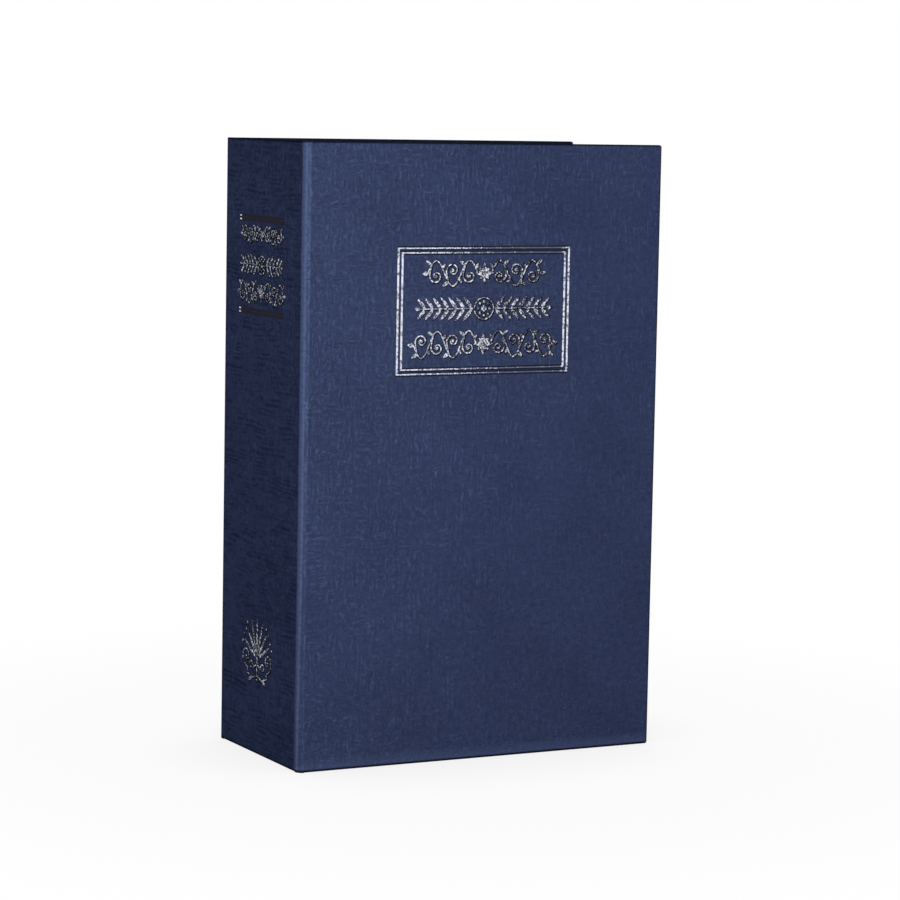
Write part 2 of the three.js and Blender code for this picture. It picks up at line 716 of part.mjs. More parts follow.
// The plug that the key turns, slotted for the key and for the wafers, with a square tail.
function lockPlug() {
  const radius = plugDiameter / 2;
  let plug = turnedAlongY([
    [0, plugFront], [radius, plugFront], [radius, barrelEnd - plugInset],
    [0, barrelEnd - plugInset]], lockX, lockHeight);
  plug = plug.add(block(
    [lockX - tailSquare / 2, keywayEnd, lockHeight - tailSquare / 2],
    [lockX + tailSquare / 2, tailEnd, lockHeight + tailSquare / 2]));
  plug = plug.subtract(block(
    [lockX - keywayWidth / 2, plugFront - overrun, lockHeight - keywayHeight / 2],
    [lockX + keywayWidth / 2, keywayEnd, lockHeight + keywayHeight / 2]));
  plug = plug.subtract(rodAlongY(
    screwDiameter / 2 + screwHoleGap, screwTip - screwHoleGap, tailEnd + overrun,
    lockX, lockHeight, smallSegments));
  for (let i = 0; i < waferCount; i++) {
    const front = waferStart + i * waferPitch;
    const back = front + waferThickness;
    plug = plug.subtract(block(
      [lockX - waferWidth / 2 - waferGap, front - waferGap, lockHeight - radius],
      [lockX + waferWidth / 2 + waferGap, back + waferGap, lockHeight + radius]));
    const plate = block(
      [lockX - waferWidth / 2, front, lockHeight - waferHeight / 2],
      [lockX + waferWidth / 2, back, lockHeight + waferHeight / 2]);
    const window = block(
      [lockX - keywayWidth / 2, front - overrun, lockHeight - waferWindow / 2],
      [lockX + keywayWidth / 2, back + overrun, lockHeight + waferWindow / 2]);
    addPiece(`lock_wafer_${i + 1}`, plate.subtract(window), "brass");
  }
  addPiece("lock_plug", plug, "chrome");
}

// The cam, which lies along the book when unlocked and turns towards the fore edge to lock.
function lockCam() {
  const reach = boxRight - sheet - camTipGap - lockX;
  const [hub, tip] = [camWidth / 2, camTipWidth / 2];
  const shape = new THREE.Shape();
  shape.absarc(lockX, lockHeight, hub, 0, Math.PI, false);
  shape.lineTo(lockX - tip, lockHeight - reach + tip);
  shape.absarc(lockX, lockHeight - reach + tip, tip, Math.PI, 2 * Math.PI, false);
  shape.lineTo(lockX + hub, lockHeight);
  const half = tailSquare / 2 + camHoleGap;
  const hole = block(
    [lockX - half, camFront - overrun, lockHeight - half],
    [lockX + half, camBack + overrun, lockHeight + half]);
  const cam = throughDepth(shape, camFront, camBack, bendSegments * 3).subtract(hole);
  addPiece("lock_cam", cam, "zinc");

  const washerBack = camWasherFront + camWasherThickness;
  const shank = screwDiameter / 2;
  const washer = turnedAlongY([
    [shank + screwHoleGap, camWasherFront], [camWasherDiameter / 2, camWasherFront],
    [camWasherDiameter / 2, washerBack], [shank + screwHoleGap, washerBack],
    [shank + screwHoleGap, camWasherFront]], lockX, lockHeight, smallSegments);
  addPiece("cam_washer", washer, "zinc");

  const head = screwHeadDiameter / 2;
  const headBack = screwHeadFront + screwHeadThickness;
  const screw = turnedAlongY([
    [0, screwTip], [shank, screwTip], [shank, screwHeadFront], [head, screwHeadFront],
    [head, headBack - screwHeadThickness / 3],
    [head - screwHeadThickness / 3, headBack], [0, headBack]], lockX, lockHeight, smallSegments);
  const slot = block(
    [lockX - screwHeadDiameter, headBack - screwSlotDepth, lockHeight - screwSlotWidth / 2],
    [lockX + screwHeadDiameter, headBack + overrun, lockHeight + screwSlotWidth / 2]);
  addPiece("cam_screw", screw.subtract(slot), "zinc");
}

// The strike: an angle welded inside the fore-edge wall, which the locked cam lies behind.
function latchStrike() {
  const wall = boxRight - sheet - weldGap;
  const shape = new THREE.Shape();
  shape.moveTo(wall, strikeBack);
  shape.lineTo(wall, strikeBack - strikeHeight);
  shape.lineTo(wall - strikeThickness, strikeBack - strikeHeight);
  shape.lineTo(wall - strikeThickness, strikeBack - strikeThickness);
  shape.lineTo(wall - strikeReach, strikeBack - strikeThickness);
  shape.lineTo(wall - strikeReach, strikeBack);
  const strike = raised(shape, lockHeight - strikeLength / 2, lockHeight + strikeLength / 2);
  addPiece("latch_strike", strike, "zinc");
}

frontCover();
frontHingeStrip();
spine();
backCover();
pageFrame();
safeBox();
latchStrike();
hinges();
safeLid();
lockHousing();
lockPlug();
lockCam();

export default bookSafe;
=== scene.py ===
import functools
import math
import random

import bmesh
import bpy
from mathutils import Matrix, Vector


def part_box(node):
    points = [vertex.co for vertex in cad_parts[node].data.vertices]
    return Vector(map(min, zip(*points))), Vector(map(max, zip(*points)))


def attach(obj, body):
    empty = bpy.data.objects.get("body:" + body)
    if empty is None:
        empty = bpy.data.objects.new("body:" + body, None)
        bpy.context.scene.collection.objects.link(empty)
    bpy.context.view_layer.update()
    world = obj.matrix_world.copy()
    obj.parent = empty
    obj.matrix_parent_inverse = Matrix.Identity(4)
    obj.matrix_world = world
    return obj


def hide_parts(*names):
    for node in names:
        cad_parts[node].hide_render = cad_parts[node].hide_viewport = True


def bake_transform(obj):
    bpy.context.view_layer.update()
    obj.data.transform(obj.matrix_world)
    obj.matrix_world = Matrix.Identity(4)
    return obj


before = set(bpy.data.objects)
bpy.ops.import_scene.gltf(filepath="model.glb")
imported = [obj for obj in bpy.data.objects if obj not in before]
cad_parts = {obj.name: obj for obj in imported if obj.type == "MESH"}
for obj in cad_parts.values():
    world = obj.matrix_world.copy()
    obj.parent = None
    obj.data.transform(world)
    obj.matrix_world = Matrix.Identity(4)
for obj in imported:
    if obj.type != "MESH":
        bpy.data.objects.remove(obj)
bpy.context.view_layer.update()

MM = 0.001

# The book, in millimetres, as its record gives it.
HEIGHT = 180.0
SPINE_X, FORE_X = -58.0, 58.0
FRONT_Y, BACK_Y = -28.0, 28.0
JOINT_RADIUS = 2.0
COVER_DEPTH = 2.5
TURN_IN = 14.0
JOINT_X = SPINE_X + JOINT_RADIUS

# The wraps stay this far inside the box, and the foil on them fills it.
FOIL_RISE = 0.03
SKIN_DEPTH = COVER_DEPTH - FOIL_RISE

# The rounding of the wrapped boards, and the steps of every quarter round.
EDGE_RADIUS, EDGE_STEPS = 0.7, 5

# Places on the flat sheet of wrap: u goes left from the front cover's fore edge, over the spine
# to the back cover's, and v goes up from the tail. On the front cover they are x and z.
PAPER_MAP = "paper"
BACK_FOLD_U = 2 * SPINE_X - (BACK_Y - FRONT_Y)
BACK_FORE_U = BACK_FOLD_U - FORE_X


# ---- node trees


class Nodes:
    """The node tree of a material or a world, with one short call for each kind of node."""

    def __init__(self, owner):
        owner.use_nodes = True
        self.tree = owner.node_tree

    def feed(self, socket, value):
        """Links or sets a socket. A colour is red, green and blue in linear light."""
        if isinstance(value, bpy.types.NodeSocket):
            self.tree.links.new(value, socket)
        else:
            socket.default_value = (*value, 1.0) if socket.type == "RGBA" else value

    def make(self, kind, inputs=(), **settings):
        """The outputs of a new node."""
        node = self.tree.nodes.new(kind)
        for key, value in settings.items():
            setattr(node, key, value)
        for key, value in dict(inputs).items():
            self.feed(node.inputs[key], value)
        return node.outputs

    def math(self, operation, *values, clamp=False):
        inputs = enumerate(values)
        return self.make("ShaderNodeMath", inputs, operation=operation, use_clamp=clamp)[0]

    def times(self, *values):
        return functools.reduce(functools.partial(self.math, "MULTIPLY"), values)

    def plus(self, *values):
        return functools.reduce(functools.partial(self.math, "ADD"), values)

    def largest(self, *values):
        return functools.reduce(functools.partial(self.math, "MAXIMUM"), values)

    def span(self, value, low, high, to_low=0.0, to_high=1.0):
        """The value taken smoothly from one range to another."""
        inputs = {"Value": value, "From Min": low, "From Max": high, "To Min": to_low,
                  "To Max": to_high}
        return self.make("ShaderNodeMapRange", inputs, interpolation_type="SMOOTHSTEP")[0]

    def blend(self, factor, a, b):
        """Two numbers mixed."""
        return self.make("ShaderNodeMix", {0: factor, 2: a, 3: b}, data_type="FLOAT")[0]

    def colour(self, factor, a, b):
        """Two colours mixed."""
        return self.make("ShaderNodeMix", {0: factor, 6: a, 7: b}, data_type="RGBA")[2]

    def coated(self, tone, *coats):
        """A colour under others, each one given as its share and its colour."""
        for share, colour in coats:
            tone = self.colour(share, tone, colour)
        return tone


class Shader(Nodes):
    """A material, its surface and the places on it. Lengths are in millimetres."""

    SOCKETS = {"color": "Base Color", "specular": "Specular IOR Level", "tint": "Specular Tint"}

    def __init__(self, name):
        self.material = bpy.data.materials.new(name)
        super().__init__(self.material)
        self.surface = self.tree.nodes["Principled BSDF"]
        self.place = self.vector("MULTIPLY", self.places(), (1 / MM,) * 3)

    def places(self):
        return self.make("ShaderNodeTexCoord")["Object"]

    def set(self, **values):
        for key, value in values.items():
            self.feed(self.surface.inputs[self.SOCKETS.get(key, key.capitalize())], value)
        return self.material

    def vector(self, operation, a, b):
        return self.make("ShaderNodeVectorMath", {0: a, 1: b}, operation=operation)[0]

    def noise(self, scale=1.0, detail=2.0, roughness=0.5, distortion=0.0, moved=None):
        """A noise round 0.5. Three scales stretch it along the axes."""
        place = self.vector("ADD", self.place, moved) if moved else self.place
        if isinstance(scale, tuple):
            place, scale = self.vector("MULTIPLY", place, scale), 1.0
        return self.make("ShaderNodeTexNoise", {
            "Vector": place, "Scale": scale, "Detail": detail, "Roughness": roughness,
            "Distortion": distortion})[0]

    def bump(self, height, distance, strength, edge=None):
        """The normal over a relief; edge is how far hard edges look rounded."""
        inputs = {"Height": height, "Distance": distance * MM, "Strength": strength}
        if edge:
            inputs["Normal"] = self.make("ShaderNodeBevel", {"Radius": edge * MM}, samples=4)[0]
        return self.make("ShaderNodeBump", inputs)[0]


# ---- the printed, grained wrap

WRAP_NAVY = (0.0585, 0.0803, 0.1740)
WRAP_DEEP = (0.006, 0.009, 0.029)
WRAP_PALE = (0.066, 0.078, 0.138)
WRAP_SPECK = (0.086, 0.103, 0.172)
# Painted light: the joint band is painted lighter with this colour as a painted highlight, and the
# front's foot as light bounced from the floor.
WRAP_PAINTED_LIGHT = (0.063, 0.087, 0.180)
# Painted highlight along the crest of the front joint.
WRAP_CREST_HIGHLIGHT = (0.082, 0.110, 0.222)
# Painted shade along the boards' head, tail and fore edges.
WRAP_EDGE_SHADE = (0.004, 0.005, 0.009)
# Painted shade of the pressed edge round the foil scrolls.
WRAP_PRESS_SHADE = (0.003, 0.004, 0.009)
WRAP_RULED = (0.040, 0.035, 0.056)
# Painted shade of the pressed edge round the front's frame of rules.
WRAP_FRAME_SHADE = (0.009, 0.012, 0.028)
WRAP_EDGE_ON = (0.06, 0.08, 0.20)

# How far apart the grain's ridges and grooves lie, how often a noise turns them through their
# whole pitch, how fast it changes along and across them, and how high their sine has to be.
RIDGE_PITCH, RIDGE_TURNS, RIDGE_SWIRL = 1.65, 2.8, (0.13, 0.34)
GROOVE_PITCH, GROOVE_TURNS, GROOVE_SWIRL = 1.42, 2.6, (0.045, 0.20)
WAVE_START = -0.4

# What the parts of the grain are worth on the front, and on the spine.
RIDGES_WORTH, PITS_WORTH, CLOUDS_WORTH = (0.54, 0.12), (0.70, 0.0), (0.55, 0.45)
GROOVES_WORTH, BLOTCHES_WORTH, SPINE_TONE = 0.21, 0.55, 0.5

# Ranges of u and v on the sheet, and what they are taken to where it isn't 0 and 1.
SPINE_FRONT_U, SPINE_BACK_U = (-59.0, -60.0), (-116.0, -113.0)
JOINT_COVER_U, JOINT_SPINE_U, JOINT_CREST_U = (-56.7, -57.9), (-59.5, -59.0), -57.6
JOINT_PULL_V = (5.0, 70.0, 0.6, 0.0)
# The ridges are stronger towards the joint and the head: partly real grain, partly painted light of
# the raking key light there.
RIDGES_U, RIDGES_V = (-50.0, 45.0, 1.62, 0.45), (10.0, 170.0, 0.55, 1.70)
# The middle tone is painted lighter towards the joint and darker towards the tail: painted light and
# shade of the key light.
TONE_LIGHT_U, TONE_LIGHT_V = (-50.0, 20.0, 0.590, 0.525), (10.0, 100.0, -0.055, 0.0)
SPECKS_U, SPINE_SPECKS_U = (-50.0, 35.0, 1.25, 0.40), (-60.0, -58.0, 0.75, 1.0)
# The front's foot is painted lighter: painted light bounced from the floor.
FOOT_LIGHT_U, FOOT_LIGHT_V = (-59.0, -56.0, 0.0, 0.42), (4.8, 0.8)
# Painted shade along the head, tail and fore edges of the wrap.
HEAD_SHADE_V, TAIL_SHADE_V = (HEIGHT - 0.75, HEIGHT - 0.2), (1.05, 0.60)
FORE_SHADE_U, BACK_SHADE_U = (FORE_X - 0.85, FORE_X - 0.40), (BACK_FORE_U + 0.7, BACK_FORE_U + 0.2)
EDGE_SHADE_SHARE = 0.85


class WrapShader(Shader):
    """A shader whose places are on the flat sheet of wrap."""

    def __init__(self, name):
        super().__init__(name)
        self.u, self.v = self.make("ShaderNodeSeparateXYZ", {0: self.place})[:2]
        # The front joint is drawn towards the spine at the tail. Round it the wrap is stretched and
        # its grain runs level, and its colour there carries a painted highlight of the rounded joint.
        self.joint = self.plus(self.u, self.span(self.v, *JOINT_PULL_V))
        self.joint_stretch_and_highlight = self.times(
            self.span(self.joint, *JOINT_COVER_U), self.span(self.joint, *JOINT_SPINE_U))

    def places(self):
        return self.make("ShaderNodeUVMap", uv_map=PAPER_MAP)[0]


def swirls(shader, along, pitch, turns, scales):
    """Ridges a pitch apart, from 0 to 1, that wander and run together round a noise."""
    wander = shader.times(shader.noise((*scales, 1.0), 1.5, 0.45), turns)
    phase = shader.plus(shader.math("DIVIDE", along, pitch), wander)
    return shader.span(shader.math("SINE", shader.times(phase, 2 * math.pi)), WAVE_START, 1.0)


def ridges(shader):
    """The front's pressed strokes: upright in some patches and level in others."""
    drift = shader.times(shader.noise(0.35), 0.35)
    place = shader.plus(shader.noise((0.16, 0.10, 1.0)), drift)
    patch = shader.largest(shader.span(place, 0.66, 0.80), shader.joint_stretch_and_highlight)
    upright = swirls(shader, shader.u, RIDGE_PITCH, RIDGE_TURNS, RIDGE_SWIRL[::-1])
    level = swirls(shader, shader.v, RIDGE_PITCH, RIDGE_TURNS, RIDGE_SWIRL)
    flecks = shader.blend(patch, shader.noise((1.15, 0.50, 1.0), 3.0, 0.65),
                          shader.noise((0.50, 1.15, 1.0), 3.0, 0.65))
    wear = shader.noise(0.12, 3.0, 0.65)
    return shader.times(
        shader.blend(patch, upright, level), shader.span(flecks, 0.42, 0.62),
        # The last two spans make the ridges stronger towards the head and the joint, partly painted
        # light of the raking key light.
        shader.span(wear, 0.40, 0.60, 0.30, 1.15), shader.span(shader.v, *RIDGES_V),
        shader.span(shader.u, *RIDGES_U))


def hollows(shader):
    """The spine's blotches less its level grooves, which lie in loose groups."""
    groups = shader.noise((0.10, 0.18, 1.0), 3.0, 0.55)
    blotches = shader.noise((0.22, 0.50, 1.0), 3.0, 0.6)
    lines = swirls(shader, shader.v, GROOVE_PITCH, GROOVE_TURNS, GROOVE_SWIRL)
    return shader.plus(
        shader.times(shader.plus(blotches, -0.40), BLOTCHES_WORTH),
        shader.times(lines, shader.span(groups, 0.44, 0.64), -GROOVES_WORTH))


def grain(shader):
    """The pressed grain's two heights, its strokes and its dots.

    The strokes stand above a middle tone that is painted lighter towards the joint and darker
    towards the tail, painted light and shade of the key light. On the spine they are grooves
    below it. Clouds vary both, and the dots pit the front.
    """
    on_spine = shader.times(
        shader.span(shader.u, *SPINE_FRONT_U), shader.span(shader.u, *SPINE_BACK_U))
    # Painted light and shade: the middle tone is lighter towards the joint and darker towards the
    # tail.
    tone = shader.plus(shader.span(shader.u, *TONE_LIGHT_U), shader.span(shader.v, *TONE_LIGHT_V))
    clouds = shader.plus(shader.noise(0.60, 2.0, 0.60), -0.45)
    dots = shader.noise(1.9, 3.0, 0.7)
    strokes = shader.plus(
        shader.blend(on_spine, tone, SPINE_TONE),
        shader.times(ridges(shader), shader.blend(on_spine, *RIDGES_WORTH)),
        shader.times(hollows(shader), on_spine),
        shader.times(clouds, shader.blend(on_spine, *CLOUDS_WORTH)),
        shader.times(shader.plus(dots, -0.47), shader.blend(on_spine, *PITS_WORTH)))
    return strokes, dots


def worn_and_lit_tone(shader, strokes, dots):
    """The wrap's colour: deep in its hollows, pale where dots and specks are rubbed, with a painted
    highlight on the joint and its crest and painted light from the floor at the front's foot.
    """
    cloud = shader.noise(0.035, 3.0)
    speck = shader.noise(1.0, 2.0, 0.6)
    ticks = shader.span(strokes, 0.5, 0.9)
    from_crest = shader.math("ABSOLUTE", shader.plus(shader.joint, -JOINT_CREST_U))
    return shader.coated(
        shader.colour(shader.times(strokes, 0.80), WRAP_DEEP, WRAP_NAVY),
        (shader.span(cloud, 0.35, 0.7, 0.0, 0.16), WRAP_DEEP),
        (shader.times(shader.span(dots, 0.54, 0.74, 0.0, 0.6), strokes), WRAP_PALE),
        (shader.times(shader.span(speck, 0.50, 0.70, 0.0, 0.3), shader.span(strokes, 0.42, 0.75),
                      shader.span(shader.u, *SPECKS_U), shader.span(shader.u, *SPINE_SPECKS_U)),
         WRAP_SPECK),
        # Painted highlight: the joint band is painted lighter where the rounded joint faces the key
        # light.
        (shader.times(shader.joint_stretch_and_highlight, shader.span(ticks, 0.0, 1.0, 0.60, 1.0)), WRAP_PAINTED_LIGHT),
        # Painted highlight along the joint's crest, flecked by the dots and ticks.
        (shader.times(shader.span(from_crest, 0.6, 0.05),
                      shader.span(shader.plus(dots, ticks), 0.25, 0.95, 0.1, 0.9)), WRAP_CREST_HIGHLIGHT),
        # Painted light bounced from the floor onto the front's foot.
        (shader.times(shader.span(shader.v, *FOOT_LIGHT_V), shader.span(shader.u, *FOOT_LIGHT_U)),
         WRAP_PAINTED_LIGHT))


def wrap_material(name, relief=0.42, pressed=None):
    """The wrap; pressed is its one colour under a foil's tool mark: painted shade of the pressed edge
    round the scrolls and the front's frame, and the brown of the band under the spine's rules.
    """
    shader = WrapShader(name)
    strokes, dots = grain(shader)
    tone = pressed or worn_and_lit_tone(shader, strokes, dots)
    # Painted shade: the wrap darkens at its head, tail and fore edges.
    edge_shade = shader.largest(
        shader.span(shader.v, *HEAD_SHADE_V), shader.span(shader.v, *TAIL_SHADE_V),
        shader.span(shader.u, *FORE_SHADE_U), shader.span(shader.u, *BACK_SHADE_U))
    height = shader.plus(shader.times(strokes, 0.9), shader.times(dots, 0.8))
    return shader.set(
        color=shader.colour(shader.times(edge_shade, EDGE_SHADE_SHARE), tone, WRAP_EDGE_SHADE), metallic=0.30,
        specular=0.0, tint=WRAP_EDGE_ON, normal=shader.bump(height, relief, 0.9),
        roughness=shader.span(dots, 0.3, 0.7, 0.44, 0.56))


wrap_finish = wrap_material("navy_wrap")
joint_finish = wrap_material("navy_wrap_joint", 0.08)
# Painted shade of the pressed edge, under the foil scrolls.
press_shade_finish = wrap_material("navy_wrap_press_shade", 0.05, WRAP_PRESS_SHADE)
ruled_finish = wrap_material("navy_wrap_ruled", 0.05, WRAP_RULED)
# Painted shade of the pressed edge, under the front's frame of rules.
frame_shade_finish = wrap_material("navy_wrap_frame_shade", 0.05, WRAP_FRAME_SHADE)


# ---- hot-stamped foil

FOIL_SILVER = (0.73, 0.745, 0.84)
FOIL_BRIGHT = (0.81, 0.86, 1.0)
FOIL_DULL = (0.122, 0.137, 0.210)
FOIL_SIZE = (0.020, 0.015, 0.013)
FOIL_THIN = (0.085, 0.092, 0.125)
FOIL_RULE_SIZE = (0.0145, 0.0130, 0.0240)

# The front's frame of rules, and how far in from its outside the wear of its levels reaches.
FRONT_LEFT, FRONT_RIGHT = -28.83, 27.35
FRONT_BOTTOM, FRONT_TOP = 113.5, 150.05
FRAME_BAND = 1.9

# Ranges of x over which foil is more worn towards the fore edge, but not on the last rule.
FADE_FROM, FADE_UNTIL = (-24.0, 14.0), (25.2, 24.6, 0.35, 1.0)


def foil_material(name, worn, fading=0.0, level_wear=0.0, bright_end=None, under=FOIL_SIZE,
                  dull_up_to=0.50, bright=FOIL_SILVER):
    """Silver that the grain breaks up. Where it's worn through, what is under it shows.

    Worn is a range of the noise that wears it. Fading is how much more is worn towards the fore
    edge, and level wear how much more on the frame's level rules. The bright end is a range of
    y that has kept its silver.
    """
    shader = Shader(name)
    x, y, z = shader.make("ShaderNodeSeparateXYZ", {0: shader.place})
    top, bottom = FRONT_TOP - FRAME_BAND, FRONT_BOTTOM + FRAME_BAND
    levels = shader.largest(shader.span(z, top, top + 0.2), shader.span(z, bottom, bottom - 0.2))
    wear = shader.plus(
        shader.noise(1.9, 4.0, 0.68), shader.times(levels, level_wear),
        shader.times(shader.span(x, *FADE_FROM), shader.span(x, *FADE_UNTIL), fading))
    missing = shader.span(wear, *worn)
    if bright_end:
        missing = shader.math("SUBTRACT", missing, shader.span(y, *bright_end), clamp=True)
    glint = shader.noise(1.5, 3.0, 0.6, moved=(7.0, 3.0, 5.0))
    silver = shader.colour(
        shader.span(glint, dull_up_to - 0.10, dull_up_to + 0.10), FOIL_DULL, bright)
    return shader.set(
        color=shader.colour(missing, silver, under),
        metallic=shader.blend(missing, 1.0, 0.0), specular=0.05,
        roughness=shader.blend(missing, 0.30, 0.75),
        normal=shader.bump(shader.noise(2.2, 3.0, 0.6), 0.10, 0.8))


front_foil = foil_material("silver_foil_front", (0.53, 0.61), fading=0.09)
front_rule_foil = foil_material(
    "silver_foil_frame", (0.64, 0.74), fading=0.20, level_wear=0.125, under=FOIL_THIN,
    dull_up_to=0.44)
spine_foil = foil_material(
    "silver_foil_spine", (0.42, 0.50), dull_up_to=0.49, bright=FOIL_BRIGHT)
rule_foil = foil_material(
    "silver_foil_rule", (-0.2, -0.1), bright_end=(15.9, 16.5), under=FOIL_RULE_SIZE)


# ---- the page block, the paper and the board


def dull_material(name, base, coats, roughness, specular, relief, strength):
    """A dry material. Each coat is a noise, its range and a colour, and the first is the relief."""
    shader = Shader(name)
    heights = [shader.noise(*pattern) for pattern, _, _ in coats]
    tone = shader.coated(base, *(
        (shader.span(height, *limits) if limits else height, colour)
        for height, (_, limits, colour) in zip(heights, coats)))
    return shader.set(color=tone, roughness=roughness, specular=specular,
                      normal=shader.bump(heights[0], relief, strength))


page_finish = dull_material("moulded_pages", (0.71, 0.64, 0.49), (
    (((0.012, 5.5, 0.012), 3.0, 0.65), (0.30, 0.70), (0.86, 0.80, 0.68)),
    (((0.02, 0.6, 0.02),), (0.35, 0.65, 0.0, 0.25), (0.90, 0.85, 0.74)),
    ((0.05, 3.0), (0.45, 0.7, 0.0, 0.3), (0.72, 0.62, 0.45)),
), roughness=0.55, specular=0.35, relief=0.10, strength=0.7)
paper_finish = dull_material("endpaper_cream", (0.76, 0.72, 0.62), (
    ((2.4, 5.0, 0.7, 1.5), (0.4, 0.65), (0.83, 0.80, 0.72)),
    ((0.06, 3.0), (0.4, 0.7, 0.0, 0.35), (0.72, 0.66, 0.54)),
), roughness=0.85, specular=0.2, relief=0.03, strength=0.5)
board_finish = dull_material("grey_board", (0.24, 0.22, 0.18), (
    (((0.4, 5.0, 0.4), 3.0), None, (0.33, 0.30, 0.25)),
    ((1.6, 4.0, 0.7), (0.55, 0.7, 0.0, 0.5), (0.15, 0.13, 0.11)),
), roughness=0.92, specular=0.15, relief=0.05, strength=0.6)


# ---- metals


def powder_coat_material():
    """Black powder coat: a fine orange peel under a little dust."""
    shader = Shader("black_powder_coat")
    peel = shader.make("ShaderNodeTexVoronoi", {"Vector": shader.place, "Scale": 1.35},
                       feature="SMOOTH_F1")["Distance"]
    fine = shader.noise(3.5, 3.0, 0.6)
    smear = shader.noise(0.05, 3.0)
    tone = shader.coated(
        (0.012, 0.012, 0.013), (fine, (0.020, 0.020, 0.022)),
        (shader.span(smear, 0.5, 0.75, 0.0, 0.12), (0.09, 0.088, 0.085)))
    return shader.set(
        color=tone, specular=0.5, roughness=shader.span(smear, 0.3, 0.7, 0.36, 0.48),
        normal=shader.bump(shader.plus(peel, shader.times(fine, 0.4)), 0.05, 0.5, edge=0.35))


def metal_material(name, colour, roughness, scale, stain=0.12):
    """A bare or plated metal with fine scratches and a faint stain."""
    shader = Shader(name)
    scratch = shader.noise(scale, 4.0, 0.65)
    smear = shader.noise(0.35, 3.0)
    dark = tuple(0.55 * value for value in colour)
    return shader.set(
        color=shader.colour(shader.span(smear, 0.45, 0.75, 0.0, stain), colour, dark),
        metallic=1.0, roughness=shader.span(scratch, 0.3, 0.7, roughness * 0.8, roughness * 1.3),
        normal=shader.bump(scratch, 0.006, 0.6, edge=0.15))


# The finish of each CAD node that shows, by how its name starts.
finishes = (
    (paper_finish, ("front_endpaper", "back_endpaper")),
    (board_finish, ("front_cover_board", "back_cover_board", "spine_board")),
    (page_finish, ("page_frame",)),
    (powder_coat_material(), ("safe_", "box_hinge_leaf", "lid_hinge_leaf")),
    (metal_material("zinc_plate", (0.58, 0.59, 0.58), 0.36, 3.0, 0.3),
     ("hinge_pin", "lock_washer", "lock_nut", "lock_cam", "cam_", "latch_strike")),
    (metal_material("lock_chrome", (0.70, 0.71, 0.72), 0.12, 1.8), ("lock_housing", "lock_plug")),
    (metal_material("wafer_brass", (0.60, 0.44, 0.17), 0.25, 3.0), ("lock_wafer",)),
    (wrap_finish, ("",)),
)
for node_name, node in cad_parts.items():
    node.data.materials.clear()
    node.data.materials.append(
        next(finish for finish, starts in finishes if node_name.startswith(starts)))


# ---- making pieces


def placed(name, data):
    """A new object in the scene."""
    made = bpy.data.objects.new(name, data)
    bpy.context.scene.collection.objects.link(made)
    return made


def meshed(name, verts, faces):
    """A mesh object with its points as they are given."""
    mesh = bpy.data.meshes.new(name)
    mesh.from_pydata(verts, [], faces)
    return placed(name, mesh)


def piece(name, verts, faces, material, paper=None, smooth_angle=40):
    """A mesh object from points in millimetres.

    Paper gives a point's place on the sheet of wrap from its face's normal, itself and its index.
    """
    made = meshed(name, [tuple(c * MM for c in v) for v in verts], faces)
    mesh = made.data
    if paper:
        layer = mesh.uv_layers.new(name=PAPER_MAP)
        for polygon in mesh.polygons:
            for loop in polygon.loop_indices:
                index = mesh.loops[loop].vertex_index
                u, v = paper(polygon.normal, Vector(verts[index]), index)
                layer.data[loop].uv = (u * MM, v * MM)
    mesh.polygons.foreach_set("use_smooth", [True] * len(mesh.polygons))
    mesh.set_sharp_from_angle(angle=math.radians(smooth_angle))
    mesh.materials.append(material)
    return made


def from_bmesh(bm):
    """The points and faces of a bmesh, with every face turned outwards."""
    bmesh.ops.recalc_face_normals(bm, faces=bm.faces)
    bm.verts.index_update()
    verts = [tuple(v.co) for v in bm.verts]
    faces = [[v.index for v in f.verts] for f in bm.faces]
    bm.free()
    return verts, faces


def lofted(loops):
    """A closed solid over loops of points that lie one behind another."""
    bm = bmesh.new()
    rings = [[bm.verts.new(point) for point in loop] for loop in loops]
    for a, b in zip(rings, rings[1:]):
        for i in range(len(a)):
            j = (i + 1) % len(a)
            bm.faces.new((a[i], a[j], b[j], b[i]))
    bm.faces.new(rings[0])
    bm.faces.new(rings[-1])
    return from_bmesh(bm)


def carved(solid, cutters):
    """A solid less others, each one its points and faces in millimetres."""
    made = [meshed("carving", verts, faces) for verts, faces in (solid, *cutters)]
    for cutter in made[1:]:
        cut = made[0].modifiers.new("cut", "BOOLEAN")
        cut.operation, cut.solver, cut.object = "DIFFERENCE", "EXACT", cutter
    carving = made[0].evaluated_get(bpy.context.evaluated_depsgraph_get())
    mesh = carving.to_mesh()
    verts = [tuple(v.co) for v in mesh.vertices]
    faces = [tuple(p.vertices) for p in mesh.polygons]
    carving.to_mesh_clear()
    for used in made:
        bpy.data.meshes.remove(used.data)
    return verts, faces


def quarter(centre, radius, start, steps, way=1):
    """Points along a quarter of a circle, which starts at so many right angles."""
    angles = [(start + way * i / steps) * math.pi / 2 for i in range(steps + 1)]
    return [(centre[0] + radius * math.cos(angle), centre[1] + radius * math.sin(angle))
            for angle in angles]


def pocket(low, high, corner, levels):
    """A solid over rectangles in x and z with rounded corners.

    Each level is a y and how far the rectangle is moved out there.
    """
    loops = []
    for y, grow in levels:
        radius = max(corner + grow, 0.05)
        loop = []
        for start, (x, z) in enumerate((high, (low[0], high[1]), low, (high[0], low[1]))):
            centre = (x + (grow - radius) * (1 if start in (0, 3) else -1),
                      z + (grow - radius) * (1 if start in (0, 1) else -1))
            loop += [(a, y, b) for a, b in quarter(centre, radius, start, EDGE_STEPS)]
        loops.append(loop)
    return lofted(loops)


# ---- the covers and their endpapers

# How far the turn-ins stand over the board, and the joint's side and corners of their window.
TURN_IN_STEP, LINING_EDGE, WINDOW_CORNER = 0.3, -50.55, 0.3

